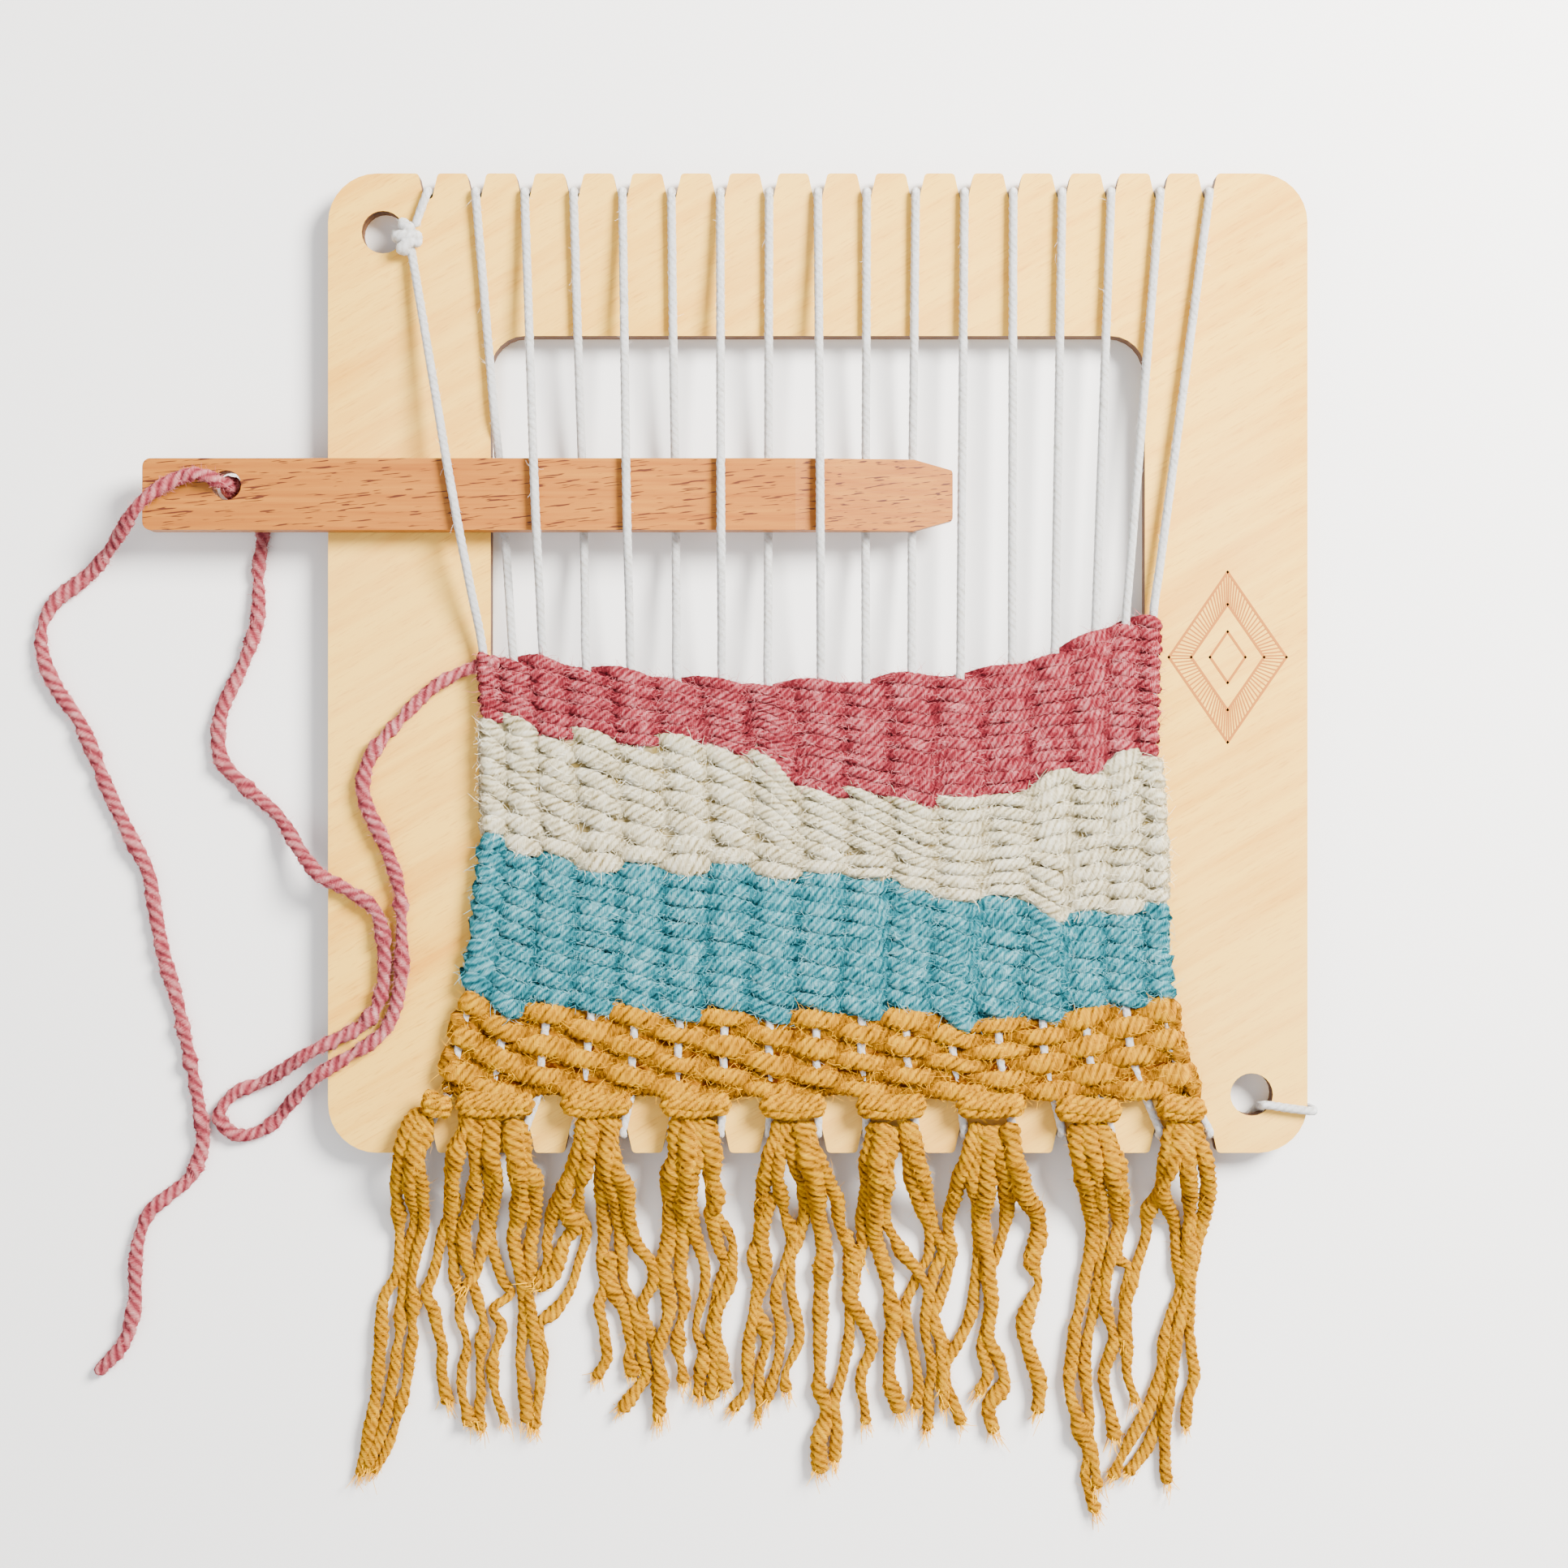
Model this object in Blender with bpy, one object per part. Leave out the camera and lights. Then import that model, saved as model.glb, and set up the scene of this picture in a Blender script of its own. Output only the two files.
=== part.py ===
"""A small weaving loom with a half-finished woven piece, lying on a table, face up.

A notched plywood frame carries one continuous warp string. Four bands of weft yarn are packed on the warp,
a row of cut tassels hangs below them, and a flat needle rests in the open warp with the working yarn in its eye.

+X runs to the right along the needle, +Y runs up the warp, +Z points out of the loom's face.
The loom's own centre lies at LOOM_CENTRE, which puts the origin under the middle of the whole object.
"""

import math

import bmesh
import bpy
import numpy as np

MM = 0.001
GAP = 0.3 * MM  # between pieces that touch on the real object

LOOM_CENTRE = (18.0 * MM, 37.0 * MM)

# The frame is a square board with a square window.
FRAME_SIDE = 200.0 * MM
BOARD = 4.0 * MM
FRAME_BACK = 2.0 * MM  # the string behind the teeth lifts the board off the table
FRAME_FACE = FRAME_BACK + BOARD
HALF = FRAME_SIDE / 2
CORNER_RADIUS = 10.0 * MM
WINDOW_HALF = 66.8 * MM
WINDOW_RADIUS = 7.0 * MM
HOLE_RADIUS = 4.35 * MM
START_HOLE = (-88.8 * MM, 88.0 * MM)
END_HOLE = (88.6 * MM, -88.1 * MM)
NOTCHES = 17
NOTCH_PITCH = 9.95 * MM
NOTCH_DEPTH = 5.2 * MM
NOTCH_MOUTH = 4.0 * MM
NOTCH_BOTTOM = 1.7 * MM
TOOTH_ROUNDING = 0.8 * MM

# The warp string.
STRING = 1.7 * MM
STRING_RADIUS = STRING / 2
BACK_Z = STRING_RADIUS  # behind the board, on the table
FACE_Z = FRAME_FACE + GAP + STRING_RADIUS  # over the board's face
NOTCH_LEG_Y = HALF - NOTCH_DEPTH + 1.5 * MM  # where the string passes through a notch
TURN_BEND = 1.2 * MM
# Where each run goes into the top of the weaving, from left to right.
WARP_TOP_X = [
    MM * x
    for x in (-67.9, -61.9, -55.8, -47.1, -38.0, -28.7, -19.5, -10.2, 0.6,
              9.7, 19.0, 28.9, 39.4, 48.1, 56.3, 62.5, 68.0)
]
KNOT_CENTRE = (-83.5 * MM, 86.8 * MM)
KNOT_RADII = (2.7 * MM, 3.3 * MM, 1.9 * MM)
KNOT_RUN_START = (-82.6 * MM, 83.1 * MM)

# The needle lies over the left bar and in the shed.
NEEDLE_LEFT = -136.6 * MM
NEEDLE_LENGTH = 164.0 * MM
NEEDLE_WIDTH = 14.5 * MM
NEEDLE_THICK = 5.0 * MM
NEEDLE_Y = 33.9 * MM
NEEDLE_BOTTOM = FRAME_FACE + GAP
NEEDLE_TOP = NEEDLE_BOTTOM + NEEDLE_THICK
NEEDLE_TIP_WIDTH = 10.8 * MM
NEEDLE_TAPER = 8.0 * MM
NEEDLE_FACET = 32.0 * MM  # how far the ground slope runs back from the tip
NEEDLE_TIP_THICK = 2.2 * MM
EYE = (17.0 * MM, 1.8 * MM)  # from the needle's left end and its centre line
EYE_RADIUS = 3.0 * MM
RUNS_OVER_NEEDLE = (1, 3, 5, 7, 9)
RUNS_UNDER_NEEDLE = (2, 4, 6, 8, 10, 11)

# The woven cloth.
CLOTH_BACK = FRAME_FACE + GAP
CLOTH_THICK = 4.7 * MM
CLOTH_MID = CLOTH_BACK + CLOTH_THICK / 2
CLOTH_BOTTOM_Y = -87.0 * MM
SELVEDGE = 1.9 * MM  # from the outer runs' centre line to the cloth's edge
CHANNEL = STRING + 2 * GAP

# The fringe.
KNOT_TOP_Y = -88.6 * MM
FRINGE_BACK = FACE_Z + STRING_RADIUS + GAP
FRINGE_FALL_Y = -98.2 * MM  # where it starts to fall off the board
FRINGE_LANDS_Y = -118.0 * MM

# The working yarn.
YARN = 2.8 * MM
MOST_CHORD_SAG = 0.35 * MM

BEECH = (0.79, 0.55, 0.37)
BIRCH = (0.90, 0.80, 0.62)
COTTON = (0.93, 0.92, 0.88)
PINK = (0.72, 0.27, 0.31)
CREAM = (0.78, 0.74, 0.63)
BLUE = (0.28, 0.52, 0.57)
MUSTARD = (0.78, 0.42, 0.03)


def scaled(points):
    """Points given in millimetres, in metres."""
    return [tuple(MM * value for value in point) for point in points]


# The centre lines of the outer runs, as (y, x), from the top of the weaving to the bottom notches.
LEFT_RUN = scaled([(1.0, -67.9), (-14, -66.6), (-35, -66.6), (-60, -69.2), (-72, -71.6), (-87, -75.0), (-96.3, -79.6)])
RIGHT_RUN = scaled([(8.3, 68.0), (-18, 67.6), (-37, 69.4), (-67, 70.0), (-80, 72.4), (-87, 75.4), (-96.3, 79.6)])

# The lines where one band of yarn meets the next, as (x, y), from left to right.
PINK_TOP = scaled([
    (-66.9, 1.3), (-55.8, 0.5), (-47.0, -1.0), (-38.2, -2.3), (-23.1, -4.0), (-10.5, -4.6), (9.7, -3.8),
    (18.1, -2.8), (29.9, -2.8), (40.0, -0.8), (47.3, 1.7), (55.6, 5.3), (61.4, 8.1), (68.7, 8.6),
])
PINK_CREAM = scaled([
    (-68.9, -10.3), (-60.1, -12.1), (-57.1, -14.6), (-43.0, -14.6), (-40.2, -16.6), (-27.4, -15.6),
    (-15.8, -17.7), (-9.5, -20.5), (-5.2, -25.0), (8.5, -27.0), (22.1, -28.3), (32.7, -27.8),
    (42.5, -24.9), (47.3, -22.9), (54.6, -22.4), (59.6, -19.2), (69.2, -18.1),
])
CREAM_BLUE = scaled([
    (-67.9, -34.6), (-62.6, -37.1), (-49.8, -41.3), (-30.4, -42.3), (-16.8, -41.8), (-6.0, -43.4),
    (13.8, -43.2), (18.1, -46.6), (29.9, -48.0), (43.5, -48.4), (48.8, -52.4), (53.6, -51.2), (66.9, -49.9),
])
BLUE_MUSTARD = scaled([
    (-71.7, -66.4), (-62.6, -70.9), (-53.3, -69.8), (-42.5, -69.9), (-28.9, -71.9), (-15.8, -70.4),
    (-10.0, -71.9), (5.1, -70.9), (25.9, -71.1), (29.9, -73.2), (49.3, -71.6), (61.9, -68.8), (71.7, -68.4),
])
MUSTARD_BOTTOM = [(-74.0 * MM, CLOTH_BOTTOM_Y), (74.0 * MM, CLOTH_BOTTOM_Y)]

# Each tassel's middle line and width, as (x, y, width), from its knot to its cut ends.
TASSELS = [
    [(-77.9, -88.6, 7.4), (-82, -96, 7.2), (-85.6, -108, 7), (-86.1, -124.9, 7), (-87.2, -138, 9), (-89.9, -152.1, 8),
     (-93.2, -168.3, 4)],
    [(-64.7, -88.6, 14), (-65, -98, 13), (-65.5, -112, 14), (-65.7, -128.9, 13), (-66.5, -144.1, 15), (-67.5, -160.2, 14)],
    [(-45.1, -88.6, 14), (-45.5, -98, 13), (-46.2, -112, 12), (-46.7, -126.9, 12.5), (-43.5, -141, 12), (-39.3, -154.2, 12)],
    [(-24.8, -88.6, 13.5), (-25, -98, 13), (-24.5, -112, 12.5), (-24.2, -125.9, 13), (-25.2, -140, 14), (-25.8, -154.2, 13.4)],
    [(-4.6, -88.6, 13.5), (-4.7, -98, 12.5), (-5, -112, 12), (-4.5, -126.9, 13), (-5, -141, 15), (-4.4, -153.1, 15),
     (1.6, -165.3, 6)],
    [(15.3, -88.6, 13.5), (15.2, -98, 12.5), (15.5, -112, 12), (16.7, -126.9, 13), (17.8, -141, 14.5), (19.4, -157.2, 15.6)],
    [(34.8, -88.6, 13.5), (35.2, -98, 13), (36.6, -112, 14), (36.8, -127.9, 14), (37, -141, 13), (38.8, -157.2, 12)],
    [(54.9, -88.6, 13), (55, -98, 12.5), (55.5, -112, 11.5), (56.1, -128.9, 11), (56.4, -143.1, 9.5), (58, -159.2, 8),
     (57.6, -175.3, 3.5)],
    [(73.7, -88.6, 12.5), (73.5, -98, 12), (71.6, -112, 12), (71.7, -126.9, 11.5), (72.3, -141, 11), (71.1, -155.2, 12),
     (68.2, -168.3, 8)],
]

# The working yarn, from the cloth's top left corner to the underside of the needle's eye.
WORKING_ROUTE = scaled([
    (-70.2, -1.0, 7.7), (-77.4, -4.4, 7.7), (-84.3, -10.9, 7.7), (-90.9, -18.9, 7.7), (-92.5, -26.8, 7.7),
    (-88.3, -36.8, 7.7), (-85.3, -45.9, 7.7), (-84.7, -55.9, 7.7), (-85.2, -66.9, 7.7), (-88.5, -75.2, 7.7),
    (-96.3, -80.6, 7.7), (-102.2, -84.3, 7.4), (-107.0, -88.9, 4.3), (-111.1, -93.4, 1.8), (-114.6, -96.1, 1.4),
    (-119.8, -97.0, 1.4), (-123.3, -93.0, 1.4), (-120.0, -88.4, 1.4), (-113.9, -85.9, 1.7), (-109.2, -83.1, 4.1),
    (-104.3, -79.8, 7.0), (-98.7, -77.0, 7.7), (-92.3, -73.4, 7.7), (-88.9, -67.5, 7.7), (-88.3, -58.5, 7.7),
    (-90.1, -50.5, 7.7), (-96.1, -46.1, 7.7), (-101.8, -43.0, 7.5), (-106.5, -37.6, 4.7), (-111.0, -31.3, 1.9),
    (-117.4, -25.6, 1.4), (-122.9, -19.4, 1.4), (-122.9, -10.3, 1.4), (-118.6, -0.6, 1.4), (-115.4, 8.9, 1.4),
    (-115.2, 19.0, 1.4), (-114.3, 26.7, 1.4), (-114.6, 31.8, 1.5), (-118.6, 34.8, 2.8), (-119.6, 35.7, 5.6),
])
# Its free tail, from the eye to the bare cut end.
TAIL_ROUTE = scaled([
    (-119.6, 35.7, 6.7), (-119.6, 35.8, 8.8), (-120.8, 36.3, 12.3), (-124.6, 37.7, 13.7), (-128.4, 37.0, 13.3),
    (-132.8, 34.8, 13.3), (-137.0, 31.3, 13.2), (-140.8, 27.2, 9.6), (-144.7, 23.2, 5.6), (-148.6, 19.5, 2.6),
    (-152.7, 16.3, 1.5), (-157.0, 12.9, 1.4), (-159.7, 7.9, 1.4), (-159.6, 1.8, 1.4), (-156.8, -5.0, 1.4),
    (-152.3, -11.5, 1.4), (-149.1, -18.5, 1.4), (-146.1, -26.2, 1.4), (-141.8, -35.1, 1.4), (-138.0, -42.8, 1.4),
    (-136.6, -50.2, 1.4), (-134.8, -59.5, 1.4), (-132.0, -69.2, 1.4), (-129.7, -79.5, 1.4), (-127.7, -89.6, 1.4),
    (-126.6, -98.1, 1.4), (-128.9, -105.3, 1.4), (-133.6, -109.4, 1.4), (-137.8, -113.2, 1.4), (-140.1, -119.5, 1.4),
    (-140.6, -126.5, 1.4), (-140.8, -133.0, 1.4), (-143.2, -140.3, 1.4), (-148.7, -146.3, 1.4),
])


def clear_scene():
    for obj in list(bpy.data.objects):
        bpy.data.objects.remove(obj, do_unlink=True)


def make_material(name, colour, roughness):
    material = bpy.data.materials.new(name)
    material.use_nodes = True
    shader = material.node_tree.nodes["Principled BSDF"]
    shader.inputs["Base Color"].default_value = (*colour, 1.0)
    shader.inputs["Roughness"].default_value = roughness
    shader.inputs["Metallic"].default_value = 0.0
    return material


def add_object(name, data, loom, material=None, location=(0, 0, 0)):
    obj = bpy.data.objects.new(name, data)
    bpy.context.collection.objects.link(obj)
    obj.parent = loom
    obj.location = location
    if material:
        data.materials.append(material)
    return obj


def mesh_object(name, bm, loom, material=None, location=(0, 0, 0), smooth_angle=None):
    """One object from a closed bmesh, with its faces turned outwards."""
    bmesh.ops.recalc_face_normals(bm, faces=bm.faces)
    mesh = bpy.data.meshes.new(name)
    bm.to_mesh(mesh)
    bm.free()
    if smooth_angle:
        mesh.shade_smooth()
        mesh.set_sharp_from_angle(angle=smooth_angle)
    return add_object(name, mesh, loom, material, location)


def make_cutter(obj):
    obj.hide_render = True
    obj.display_type = "WIRE"


def subtract(obj, cutter):
    cut = obj.modifiers.new("cut", "BOOLEAN")
    cut.operation = "DIFFERENCE"
    cut.solver = "EXACT"
    cut.object = cutter


def arc(centre, radius, start, end, steps):
    """Points on an arc, from start to end in degrees."""
    angles = np.radians(np.linspace(start, end, steps + 1))
    return [(centre[0] + radius * math.cos(a), centre[1] + radius * math.sin(a)) for a in angles]


def rounded_rectangle(half_x, half_y, radius, steps):
    points = []
    for quarter, (sx, sy) in enumerate(((1, 1), (-1, 1), (-1, -1), (1, -1))):
        centre = (sx * (half_x - radius), sy * (half_y - radius))
        points += arc(centre, radius, 90 * quarter, 90 * quarter + 90, steps)
    return points


def prism(outlines, bottom, top):
    """A board between two heights. The first outline is its edge, and the others are holes in it."""
    bm = bmesh.new()
    edges = []
    for outline in outlines:
        ring = [bm.verts.new((x, y, bottom)) for x, y in outline]
        edges += [bm.edges.new((ring[i - 1], ring[i])) for i in range(len(ring))]
    filled = bmesh.ops.triangle_fill(bm, use_beauty=True, use_dissolve=False, edges=edges)
    faces = [item for item in filled["geom"] if isinstance(item, bmesh.types.BMFace)]
    raised = bmesh.ops.extrude_face_region(bm, geom=faces, use_keep_orig=True)
    moved = [item for item in raised["geom"] if isinstance(item, bmesh.types.BMVert)]
    bmesh.ops.translate(bm, verts=moved, vec=(0, 0, top - bottom))
    return bm


def loft(bm, stations, sides):
    """A closed body through upright oval rings, each given as (x, y, z, width, height), ordered along -Y."""
    rings = []
    for x, y, z, width, height in stations:
        ring = []
        for k in range(sides):
            angle = 2 * math.pi * (k + 0.5) / sides
            place = (x + width / 2 * math.cos(angle), y, z + height / 2 * math.sin(angle))
            ring.append(bm.verts.new(place))
        rings.append(ring)
    for above, below in zip(rings, rings[1:]):
        for k in range(sides):
            bm.faces.new((above[k - 1], above[k], below[k], below[k - 1]))
    bm.faces.new(rings[0])
    bm.faces.new(reversed(rings[-1]))


def smooth_route(points, spacing):
    """Points about one spacing apart on a smooth curve through the given points, and closer in tight bends."""
    points = np.array(points, float)
    padded = np.vstack([2 * points[0] - points[1], points, 2 * points[-1] - points[-2]])
    fine = []
    for a, b, c, d in zip(padded, padded[1:], padded[2:], padded[3:]):
        for t in np.arange(0, 1, 0.05):
            fine.append(0.5 * (2 * b + (c - a) * t + (2 * a - 5 * b + 4 * c - d) * t**2
                               + (3 * b - a - 3 * c + d) * t**3))
    fine = np.array(fine + [points[-1]])
    along = np.concatenate([[0], np.cumsum(np.linalg.norm(np.diff(fine, axis=0), axis=1))])

    def place(mark):
        return np.array([np.interp(mark, along, fine[:, axis]) for axis in range(3)])

    marks = list(np.linspace(0, along[-1], int(round(along[-1] / spacing)) + 1))
    for start, end in list(zip(marks, marks[1:])):
        middle = (start + end) / 2
        if np.linalg.norm(place(middle) - (place(start) + place(end)) / 2) > MOST_CHORD_SAG:
            marks.append(middle)
    return [tuple(place(mark)) for mark in sorted(marks)]


def tube(name, points, diameter, loom, material, resolution):
    """A round tube along a line of points, with closed ends."""
    curve = bpy.data.curves.new(name, "CURVE")
    curve.dimensions = "3D"
    curve.twist_mode = "MINIMUM"
    curve.bevel_depth = diameter / 2
    curve.bevel_resolution = resolution
    curve.use_fill_caps = True
    spline = curve.splines.new("POLY")
    spline.points.add(len(points) - 1)
    for point, place in zip(spline.points, points):
        point.co = (*place, 1.0)
    spline.use_smooth = True
    return add_object(name, curve, loom, material)


def bent_line(corners, radius, steps=3):
    """A line through corners, with each inner corner rounded."""
    corners = [np.array(corner, float) for corner in corners]
    points = [corners[0]]
    for before, corner, after in zip(corners, corners[1:], corners[2:]):
        into = (corner - before) / np.linalg.norm(corner - before)
        out = (after - corner) / np.linalg.norm(after - corner)
        half = math.acos(max(-1.0, min(1.0, float(into @ out)))) / 2
        reach = radius * math.tan(half)
        start, end = corner - into * reach, corner + out * reach
        for step in range(steps + 1):
            t = step / steps
            points.append((1 - t)**2 * start + 2 * t * (1 - t) * corner + t**2 * end)
    points.append(corners[-1])
    return [tuple(point) for point in points]


# ---- the frame ----


def notch_x(number):
    """The middle of a notch, counted from 1 at the left."""
    return (number - (NOTCHES + 1) / 2) * NOTCH_PITCH


def notch_outline(middle):
    """One notch in the top edge, from left to right, with its tooth corners rounded."""
    mouth, bottom = NOTCH_MOUTH / 2, NOTCH_BOTTOM / 2
    depth_y = HALF - NOTCH_DEPTH
    flank = math.atan2(mouth - bottom, NOTCH_DEPTH)
    turn = math.pi / 2 - flank
    centre_x = mouth + TOOTH_ROUNDING * (1 - math.sin(flank))
    centre_y = HALF - TOOTH_ROUNDING
    right = []
    for step in range(4):
        angle = math.pi / 2 + turn * step / 3
        right.append((centre_x + TOOTH_ROUNDING * math.cos(angle), centre_y + TOOTH_ROUNDING * math.sin(angle)))
    corner = 0.35 * MM
    right.append((bottom + corner * math.sin(flank) * 0.9, depth_y + corner))
    right.append((bottom - corner, depth_y))
    left = [(-x, y) for x, y in right]
    return [(middle + x, y) for x, y in left + right[::-1]]


def frame_outline():
    inner = HALF - CORNER_RADIUS
    points = arc((-inner, inner), CORNER_RADIUS, 180, 90, 8)
    for number in range(1, NOTCHES + 1):
        points += notch_outline(notch_x(number))
    points += arc((inner, inner), CORNER_RADIUS, 90, 0, 8)
    return points + [(-x, -y) for x, y in points]


def make_frame(loom, birch):
    holes = [arc(centre, HOLE_RADIUS, 0, 345, 23) for centre in (START_HOLE, END_HOLE)]
    window = rounded_rectangle(WINDOW_HALF, WINDOW_HALF, WINDOW_RADIUS, 6)
    bm = prism([frame_outline(), window] + holes, FRAME_BACK, FRAME_FACE)
    mesh_object("loom_frame", bm, loom, birch)


# ---- the needle ----


def needle_outline():
    """From the square left end at x = 0 to the tapered tip, about the needle's centre line."""
    half, tip_half, corner, tip_corner = NEEDLE_WIDTH / 2, NEEDLE_TIP_WIDTH / 2, 1.6 * MM, 1.0 * MM
    points = [(NEEDLE_LENGTH - NEEDLE_TAPER, half)]
    points += arc((corner, half - corner), corner, 90, 180, 4)
    points += arc((corner, corner - half), corner, 180, 270, 4)
    points += [(NEEDLE_LENGTH - NEEDLE_TAPER, -half)]
    points += arc((NEEDLE_LENGTH - tip_corner, tip_corner - tip_half), tip_corner, -50, 0, 3)
    points += arc((NEEDLE_LENGTH - tip_corner, tip_half - tip_corner), tip_corner, 0, 50, 3)
    return points


def make_needle(loom, beech):
    """Its object sits at its left end, on the line that it slides along."""
    place = (NEEDLE_LEFT, NEEDLE_Y, NEEDLE_BOTTOM)
    bm = prism([needle_outline(), arc(EYE, EYE_RADIUS, 0, 342, 19)], 0, NEEDLE_THICK)
    needle = mesh_object("weaving_needle", bm, loom, beech, place, smooth_angle=math.radians(40))
    slope = math.atan2(NEEDLE_THICK - NEEDLE_TIP_THICK, NEEDLE_FACET)
    cutter_mesh = bmesh.new()
    bmesh.ops.create_cube(cutter_mesh, size=1.0)
    bmesh.ops.scale(cutter_mesh, vec=(3 * NEEDLE_FACET, 2 * NEEDLE_WIDTH, NEEDLE_THICK), verts=cutter_mesh.verts)
    bmesh.ops.translate(cutter_mesh, vec=(0, 0, NEEDLE_THICK / 2), verts=cutter_mesh.verts)
    cutter = mesh_object("needle_tip_cutter", cutter_mesh, loom)
    cutter.location = (NEEDLE_LEFT + NEEDLE_LENGTH - NEEDLE_FACET, NEEDLE_Y, NEEDLE_TOP)
    cutter.rotation_euler = (0, slope, 0)
    make_cutter(cutter)
    subtract(needle, cutter)
    bevel = needle.modifiers.new("edges", "BEVEL")
    bevel.width = 1.0 * MM
    bevel.segments = 2
    bevel.limit_method = "ANGLE"
    bevel.angle_limit = math.radians(35)
    bevel.harden_normals = False


# ---- the warp ----


def line_at(line, value):
    """The second coordinate of a line of points at a value of the first."""
    line = sorted(line)
    return float(np.interp(value, [p[0] for p in line], [p[1] for p in line]))


def weave_top(x):
    return line_at(PINK_TOP, x)


def run_x(number, y):
    """Where a run of the warp lies at a height on the loom."""
    top_x = WARP_TOP_X[number - 1]
    top_y = weave_top(top_x)
    if y >= top_y:
        start_x, start_y = (KNOT_RUN_START if number == 1 else (notch_x(number), NOTCH_LEG_Y))
        return top_x + (start_x - top_x) * (y - top_y) / (start_y - top_y)
    left, right = line_at(LEFT_RUN, y), line_at(RIGHT_RUN, y)
    top_share = (top_x - WARP_TOP_X[0]) / (WARP_TOP_X[-1] - WARP_TOP_X[0])
    even_share = (number - 1) / (NOTCHES - 1)
    sunk = (top_y - y) / (top_y + NOTCH_LEG_Y)
    share = top_share + (even_share - top_share) * sunk
    return left + (right - left) * share


def run_heights(number):
    """The run's height over the table, as (y, z), from its top end to its bottom end."""
    top_y = weave_top(WARP_TOP_X[number - 1])
    start_y = KNOT_RUN_START[1] if number == 1 else NOTCH_LEG_Y + STRING_RADIUS
    heights = [(start_y, FACE_Z)]
    above, below = NEEDLE_Y + NEEDLE_WIDTH / 2 + GAP, NEEDLE_Y - NEEDLE_WIDTH / 2 - GAP
    if number in RUNS_OVER_NEEDLE:
        over = NEEDLE_TOP + GAP + STRING_RADIUS
        heights += [(above, over), (below, over)]
    if number in RUNS_UNDER_NEEDLE:
        under = NEEDLE_BOTTOM - GAP - STRING_RADIUS
        still_on_board = 50.5 * MM if number == 2 else WINDOW_HALF - 1 * MM
        heights += [(still_on_board, FACE_Z), (above, under), (below, under)]
    heights += [(top_y + 1 * MM, CLOTH_MID)]
    heights += [(y * MM, CLOTH_MID) for y in (-14, -35, -60, -72, -80)]
    heights += [(CLOTH_BOTTOM_Y, CLOTH_MID - 0.95 * MM), (KNOT_TOP_Y, FACE_Z)]
    heights += [(-NOTCH_LEG_Y - STRING_RADIUS, FACE_Z)]
    return heights


def run_stations(number, diameter):
    return [(run_x(number, y), y, z, diameter, diameter) for y, z in run_heights(number)]


def make_runs(loom, cotton):
    for number in range(1, NOTCHES + 1):
        bm = bmesh.new()
        loft(bm, run_stations(number, STRING), 6)
        mesh_object(f"warp_run_{number:02d}", bm, loom, cotton, smooth_angle=math.radians(70))


def turn_route(first, second, leg_y):
    """Down through one notch, behind a tooth, and up through the next notch."""
    top_z = FACE_Z - STRING_RADIUS - GAP
    left, right = notch_x(first), notch_x(second)
    return [(left, leg_y, top_z), (left, leg_y, BACK_Z), (right, leg_y, BACK_Z), (right, leg_y, top_z)]


def make_turns(loom, cotton):
    for first in range(1, NOTCHES, 2):
        line = bent_line(turn_route(first, first + 1, -NOTCH_LEG_Y), TURN_BEND)
        tube(f"warp_turn_bottom_{first:02d}", line, STRING, loom, cotton, 1)
    for first in range(2, NOTCHES, 2):
        line = bent_line(turn_route(first, first + 1, NOTCH_LEG_Y), TURN_BEND)
        tube(f"warp_turn_top_{first:02d}", line, STRING, loom, cotton, 1)


def knot(name, centre, radii, loom, material):
    bm = bmesh.new()
    bmesh.ops.create_uvsphere(bm, u_segments=12, v_segments=8, radius=1.0)
    bmesh.ops.scale(bm, vec=radii, verts=bm.verts)
    mesh_object(name, bm, loom, material, centre, smooth_angle=math.radians(70))


def make_warp_ends(loom, cotton):
    """The starting loop through the top left hole, and the finishing stretch through the bottom right one."""
    knot("warp_start_knot", (*KNOT_CENTRE, FRAME_FACE + GAP + KNOT_RADII[2]), KNOT_RADII, loom, cotton)
    first_x, last_x = notch_x(1), notch_x(NOTCHES)
    inside_z = FACE_Z - STRING_RADIUS - GAP
    loop = [
        (-81.6 * MM, 90.6 * MM, FACE_Z),
        (first_x, NOTCH_LEG_Y, FACE_Z),
        (first_x, NOTCH_LEG_Y, BACK_Z),
        (-86.2 * MM, 88.2 * MM, BACK_Z),
        (-86.2 * MM, 88.2 * MM, inside_z),
    ]
    tube("warp_start_loop", bent_line(loop, TURN_BEND), STRING, loom, cotton, 1)
    rise = (89.9 * MM, -89.9 * MM)
    edge_x = HALF + GAP + STRING_RADIUS
    edge_y = -91.3 * MM
    tail = [
        (last_x, -NOTCH_LEG_Y, inside_z),
        (last_x, -NOTCH_LEG_Y, BACK_Z),
        (*rise, BACK_Z),
        (*rise, FACE_Z),
        (edge_x, edge_y, FACE_Z),
        (edge_x, edge_y, BACK_Z),
        (96.9 * MM, -92.0 * MM, BACK_Z),
    ]
    tube("warp_end_tail", bent_line(tail, TURN_BEND), STRING, loom, cotton, 1)
    end_knot = (94.2 * MM, -92.8 * MM, BACK_Z)
    knot("warp_end_knot", end_knot, (2.2 * MM, 1.9 * MM, STRING_RADIUS), loom, cotton)


# ---- the cloth ----


def left_edge(y):
    return line_at(LEFT_RUN, y) - SELVEDGE


def right_edge(y):
    return line_at(RIGHT_RUN, y) + SELVEDGE


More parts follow.
